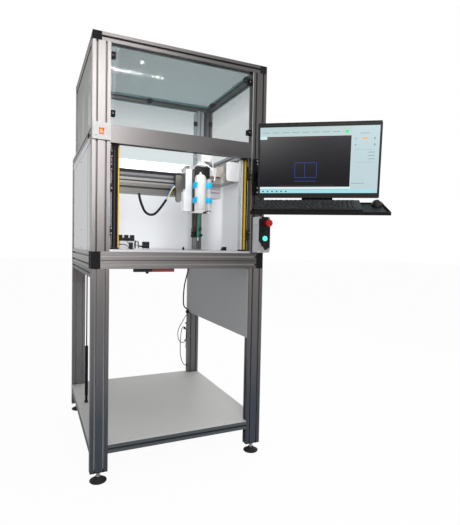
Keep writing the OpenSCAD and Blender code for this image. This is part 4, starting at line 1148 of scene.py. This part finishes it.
class CELL_OT_curtains(bpy.types.Operator):
    """Edges, lens, window, clamps, caps and screws of the light curtains"""

    bl_idname = "cell.curtains"
    bl_label = "Light curtains"

    def strip(self, name, left, right, finish, slot):
        piece = block(name, (left, -459.6, 1084), (right, -458.9, 1564))
        return dress(soften(piece, 0.0002), "cell", finish)

    def execute(self, context):
        self.strip("curtain_edge_left", -317.5, -312.3, "yellow_strip", "black_metal")
        self.strip("curtain_edge_right", 331.4, 350.0, "yellow_strip", "black_metal")
        self.strip("curtain_lens_right", 324.2, 331.2, "white_plastic", "white_plastic")
        window = block("curtain_window_right", (322.9, -458.5, 1088), (323.9, -425.5, 1560))
        dress(soften(window, 0.0002), "cell", "lens")
        for side, low, size, heights in (
            ("left", (-359, -463, 0), (17, 2.6, 40), (1146, 1345, 1442, 1503)),
            ("right", (351.5, -500, 0), (8, 36, 44), (1146, 1456)),
        ):
            clamp = soften(block("clamp", low, [a + b for a, b in zip(low, size)]), 0.001)
            places = [spot(0, 0, z) for z in heights]
            dress(set_out(clamp, "curtain_clamps_" + side, places), "cell", "black_plastic")
        for side, x in (("left", -347.2), ("right", 324.2)):
            for end, z in (("low", 1080.2), ("high", 1560.0)):
                cap = block(f"curtain_cap_{side}_{end}", (x, -460.2, z), (x + 35, -425.2, z + 8))
                dress(soften(cap, 0.0012), "cell", "black_plastic")
        points = [(-347.5, -463, z) for z in (1154, 1178, 1364, 1450, 1474, 1510, 1536)]
        points += [(355.5, -500, z) for z in (1156, 1178, 1466, 1490)]
        screws("curtain_screws", "cell", points, FRONT, 0.003)
        return {"FINISHED"}


class CELL_OT_screen(bpy.types.Operator):
    """Picture of the monitor, its upper lip and its buttons"""

    bl_idname = "cell.screen"
    bl_label = "Screen"

    def execute(self, context):
        deselect()
        bpy.ops.mesh.primitive_plane_add(size=1)
        screen = named("screen")
        width, height, middle = 521.0, 291.0, 34.0
        upright = Matrix.Rotation(math.pi / 2, 4, "X")
        scale = Matrix.Diagonal((width * MM, height * MM, 1, 1))
        screen.matrix_world = tilt_frame() @ spot(0, -40.9, middle, upright) @ scale
        dress(settle(screen), "display", "screen_picture")
        lip = soften(block("monitor_lip", (-269, -40, 194.2), (269, -24, 199.2)), 0.0015)
        dress(set_out(lip, "monitor_lip", [tilt_frame()]), "display", "black_plastic")
        button = soften(disc("button", 0.0035, 0.0016, 16), 0.0006)
        places = [tilt_frame() @ spot(x, -41.5, -124, upright) for x in (190, 206, 222, 238)]
        dress(set_out(button, "monitor_buttons", places), "display", "black_plastic")
        return {"FINISHED"}


class CELL_OT_keys(bpy.types.Operator):
    """Keycaps of the keyboard and the wheel of the mouse"""

    bl_idname = "cell.keys"
    bl_label = "Keys"

    # Widths of the keys in each row, from the back, in key pitches; a minus sign is a gap
    ROWS = [
        [1, -1, 1, 1, 1, 1, -0.5, 1, 1, 1, 1, -0.5, 1, 1, 1, 1, -0.2, 1, 1, 1, -0.2, 1, 1, 1, 1],
        [1] * 13 + [2, -0.2, 1, 1, 1, -0.2, 1, 1, 1, 1],
        [1.5] + [1] * 12 + [1.5, -0.2, 1, 1, 1, -0.2, 1, 1, 1, 1],
        [1.75] + [1] * 11 + [2.25, -3.4, 1, 1, 1, 1],
        [2.25] + [1] * 10 + [2.75, -1.2, 1, -1.2, 1, 1, 1, 1],
        [1.25, 1.25, 1.25, 6.25, 1.25, 1.25, 1.25, 1.25, -0.2, 1, 1, 1, -0.2, 2, 1, 1],
    ]

    # Keyboard on the tray, in millimetres: middle of the first row, left end of the keys, a height
    # of the keys and where they have it, rise of the keyboard over its depth
    FIRST_ROW, LEFT_END, HEIGHT, HEIGHT_AT, RISE, DEPTH = -73, -262.0, 20, -64, 12, 120

    # Rows lie this much wider apart than keys, in millimetres, and the first one by a share of a
    # row more; a wide key also covers the gaps it spans, each a share of a cap
    ROW_ROOM, FIRST_GAP, SPANNED = 0.6, 0.25, 0.16

    def execute(self, context):
        pitch = context.scene.cell_sizes.key_pitch / MM
        lean = Matrix.Rotation(math.atan2(self.RISE, self.DEPTH), 4, "X")
        for row, widths in enumerate(self.ROWS):
            steps = row + (self.FIRST_GAP if row else 0)
            away = self.FIRST_ROW - steps * (pitch + self.ROW_ROOM)
            high = self.HEIGHT + (away - self.HEIGHT_AT) * self.RISE / self.DEPTH
            reach = self.LEFT_END
            places = []
            for width in widths:
                if width > 0:
                    middle = reach + width * pitch / 2
                    stretch = Matrix.Diagonal((width + (width - 1) * self.SPANNED, 1, 1, 1))
                    places.append(tray_frame() @ spot(middle, away, high, lean) @ stretch)
                reach += abs(width) * pitch
            dress(set_out(self.keycap(pitch), f"keys_row_{row + 1}", places), "tray",
                  "key_plastic")
        self.wheel()
        return {"FINISHED"}

    def keycap(self, pitch):
        half, tall = pitch / 2 - 1.2, 3.4
        cap = block("keycap", (-half, -half, -0.4), (half, half, tall))
        pick(cap, lambda face: face.normal.z > 0.9)
        bpy.ops.transform.resize(value=(0.82, 0.8, 1))
        bpy.ops.object.mode_set(mode="OBJECT")
        return soften(cap, 0.0008, 1)

    def wheel(self):
        wheel = soften(disc("mouse_wheel", 0.0055, 0.005), 0.0008)
        place = tray_frame() @ spot(242, -94, 21.5, Matrix.Rotation(math.pi / 2, 4, "Y"))
        dress(set_out(wheel, "mouse_wheel", [place]), "tray", "black_rubber")


class CELL_OT_controls(bpy.types.Operator):
    """Rings round the buttons of the control station"""

    bl_idname = "cell.controls"
    bl_label = "Controls"

    def execute(self, context):
        for name, middle, radius in RINGS:
            piece = set_out(ring(radius, 1.0), name, [facing(middle, FRONT)])
            dress(piece, "cell", "link_metal")
        return {"FINISHED"}


class CELL_OT_fittings(bpy.types.Operator):
    """Fittings, screws, ring and knobs of the head, plugs, catch, ties, gap strips and cheeks"""

    bl_idname = "cell.fittings"
    bl_label = "Fittings"

    def execute(self, context):
        self.head()
        for name, low, high in (
            ("sensor_plug", (-234.4, -314, 1080.2), (-213.5, -300, 1113.8)),
            ("loop_catch", (-446, -392, 1598), (-440.2, -376, 1618)),
            ("leg_plug", (322, 441, 496), (336, 452, 512)),
            ("leg_clip", (333, 444, 535), (341, 452, 544)),
            ("leg_tie", (331, 444, 409), (342, 456, 419)),
        ):
            dress(soften(block(name, low, high), 0.0015), "cell", "black_plastic")
        # The gap strips are dark strips in the painted-shade colour of the shelf rails
        for side, x in (("left", -398), ("right", 374)):
            strip = block("gap_strip_" + side, (x, 248, 1602), (x + 24, 252, 2008))
            dress(soften(strip, 0.0004), "cell", "profile_dark")
        cheek = soften(block("cheek", (-441.2, -460, 990), (-440, -412, 1070)), 0.0003)
        dress(set_out(cheek, "corner_cheeks", [spot(0, 0, 0), spot(881.2, 0, 0)]), "cell",
              "cap_plastic")
        return {"FINISHED"}

    def head(self):
        ends = [(HOSE_ROUTE[-1], RIGHT), (TUBE_ROUTE[-1], RIGHT), (TUBE_ROUTE[0], RIGHT),
                (HOSE_ROUTE[0], UP)]
        nut = soften(disc("nut", 0.0052, 0.009, 20), 0.0008)
        places = [facing(point, direction) for point, direction in ends]
        dress(set_out(nut, "hose_fittings", places), "head", "black_plastic")
        box = grid((194, 246), (-211,), (1590, 1646))
        screws("motor_screws", "head", box, FRONT, 0.0028)
        collar = set_out(ring(16.4, 1.2), "vial_ring", [spot(221, -250, 1298)])
        dress(collar, "head", "black_rubber")
        knob = soften(disc("knob", 0.0078, 0.009), 0.0012)
        places = [facing(point, FRONT) for point in KNOBS]
        dress(set_out(knob, "bracket_knobs", places), "head", "black_plastic")


class CELL_PT_sidebar(bpy.types.Panel):
    """Sidebar with the sizes, colours and steps of the cell"""

    bl_idname = "CELL_PT_sidebar"
    bl_label = "Dispensing cell"
    bl_space_type = "VIEW_3D"
    bl_region_type = "UI"
    bl_category = "Dispensing cell"

    def draw(self, context):
        layout = self.layout
        for group in (context.scene.cell_sizes, context.scene.cell_finishes):
            for name in group.__annotations__:
                layout.prop(group, name)
        for step in STEPS:
            layout.operator(step.bl_idname)


STEPS = (CELL_OT_stage, CELL_OT_finishes, CELL_OT_cords, CELL_OT_screws, CELL_OT_curtains,
         CELL_OT_screen, CELL_OT_keys, CELL_OT_controls, CELL_OT_fittings)
GROUPS = (CellFinishes, CellSizes)


def register():
    for part in GROUPS + STEPS + (CELL_PT_sidebar,):
        bpy.utils.register_class(part)
    bpy.types.Scene.cell_finishes = bpy.props.PointerProperty(type=CellFinishes)
    bpy.types.Scene.cell_sizes = bpy.props.PointerProperty(type=CellSizes)


def unregister():
    del bpy.types.Scene.cell_sizes
    del bpy.types.Scene.cell_finishes
    for part in reversed(GROUPS + STEPS + (CELL_PT_sidebar,)):
        bpy.utils.unregister_class(part)


def run_steps():
    for step in STEPS:
        group, name = step.bl_idname.split(".")
        getattr(getattr(bpy.ops, group), name)()


def main():
    register()
    run_steps()


if __name__ == "__main__":
    main()
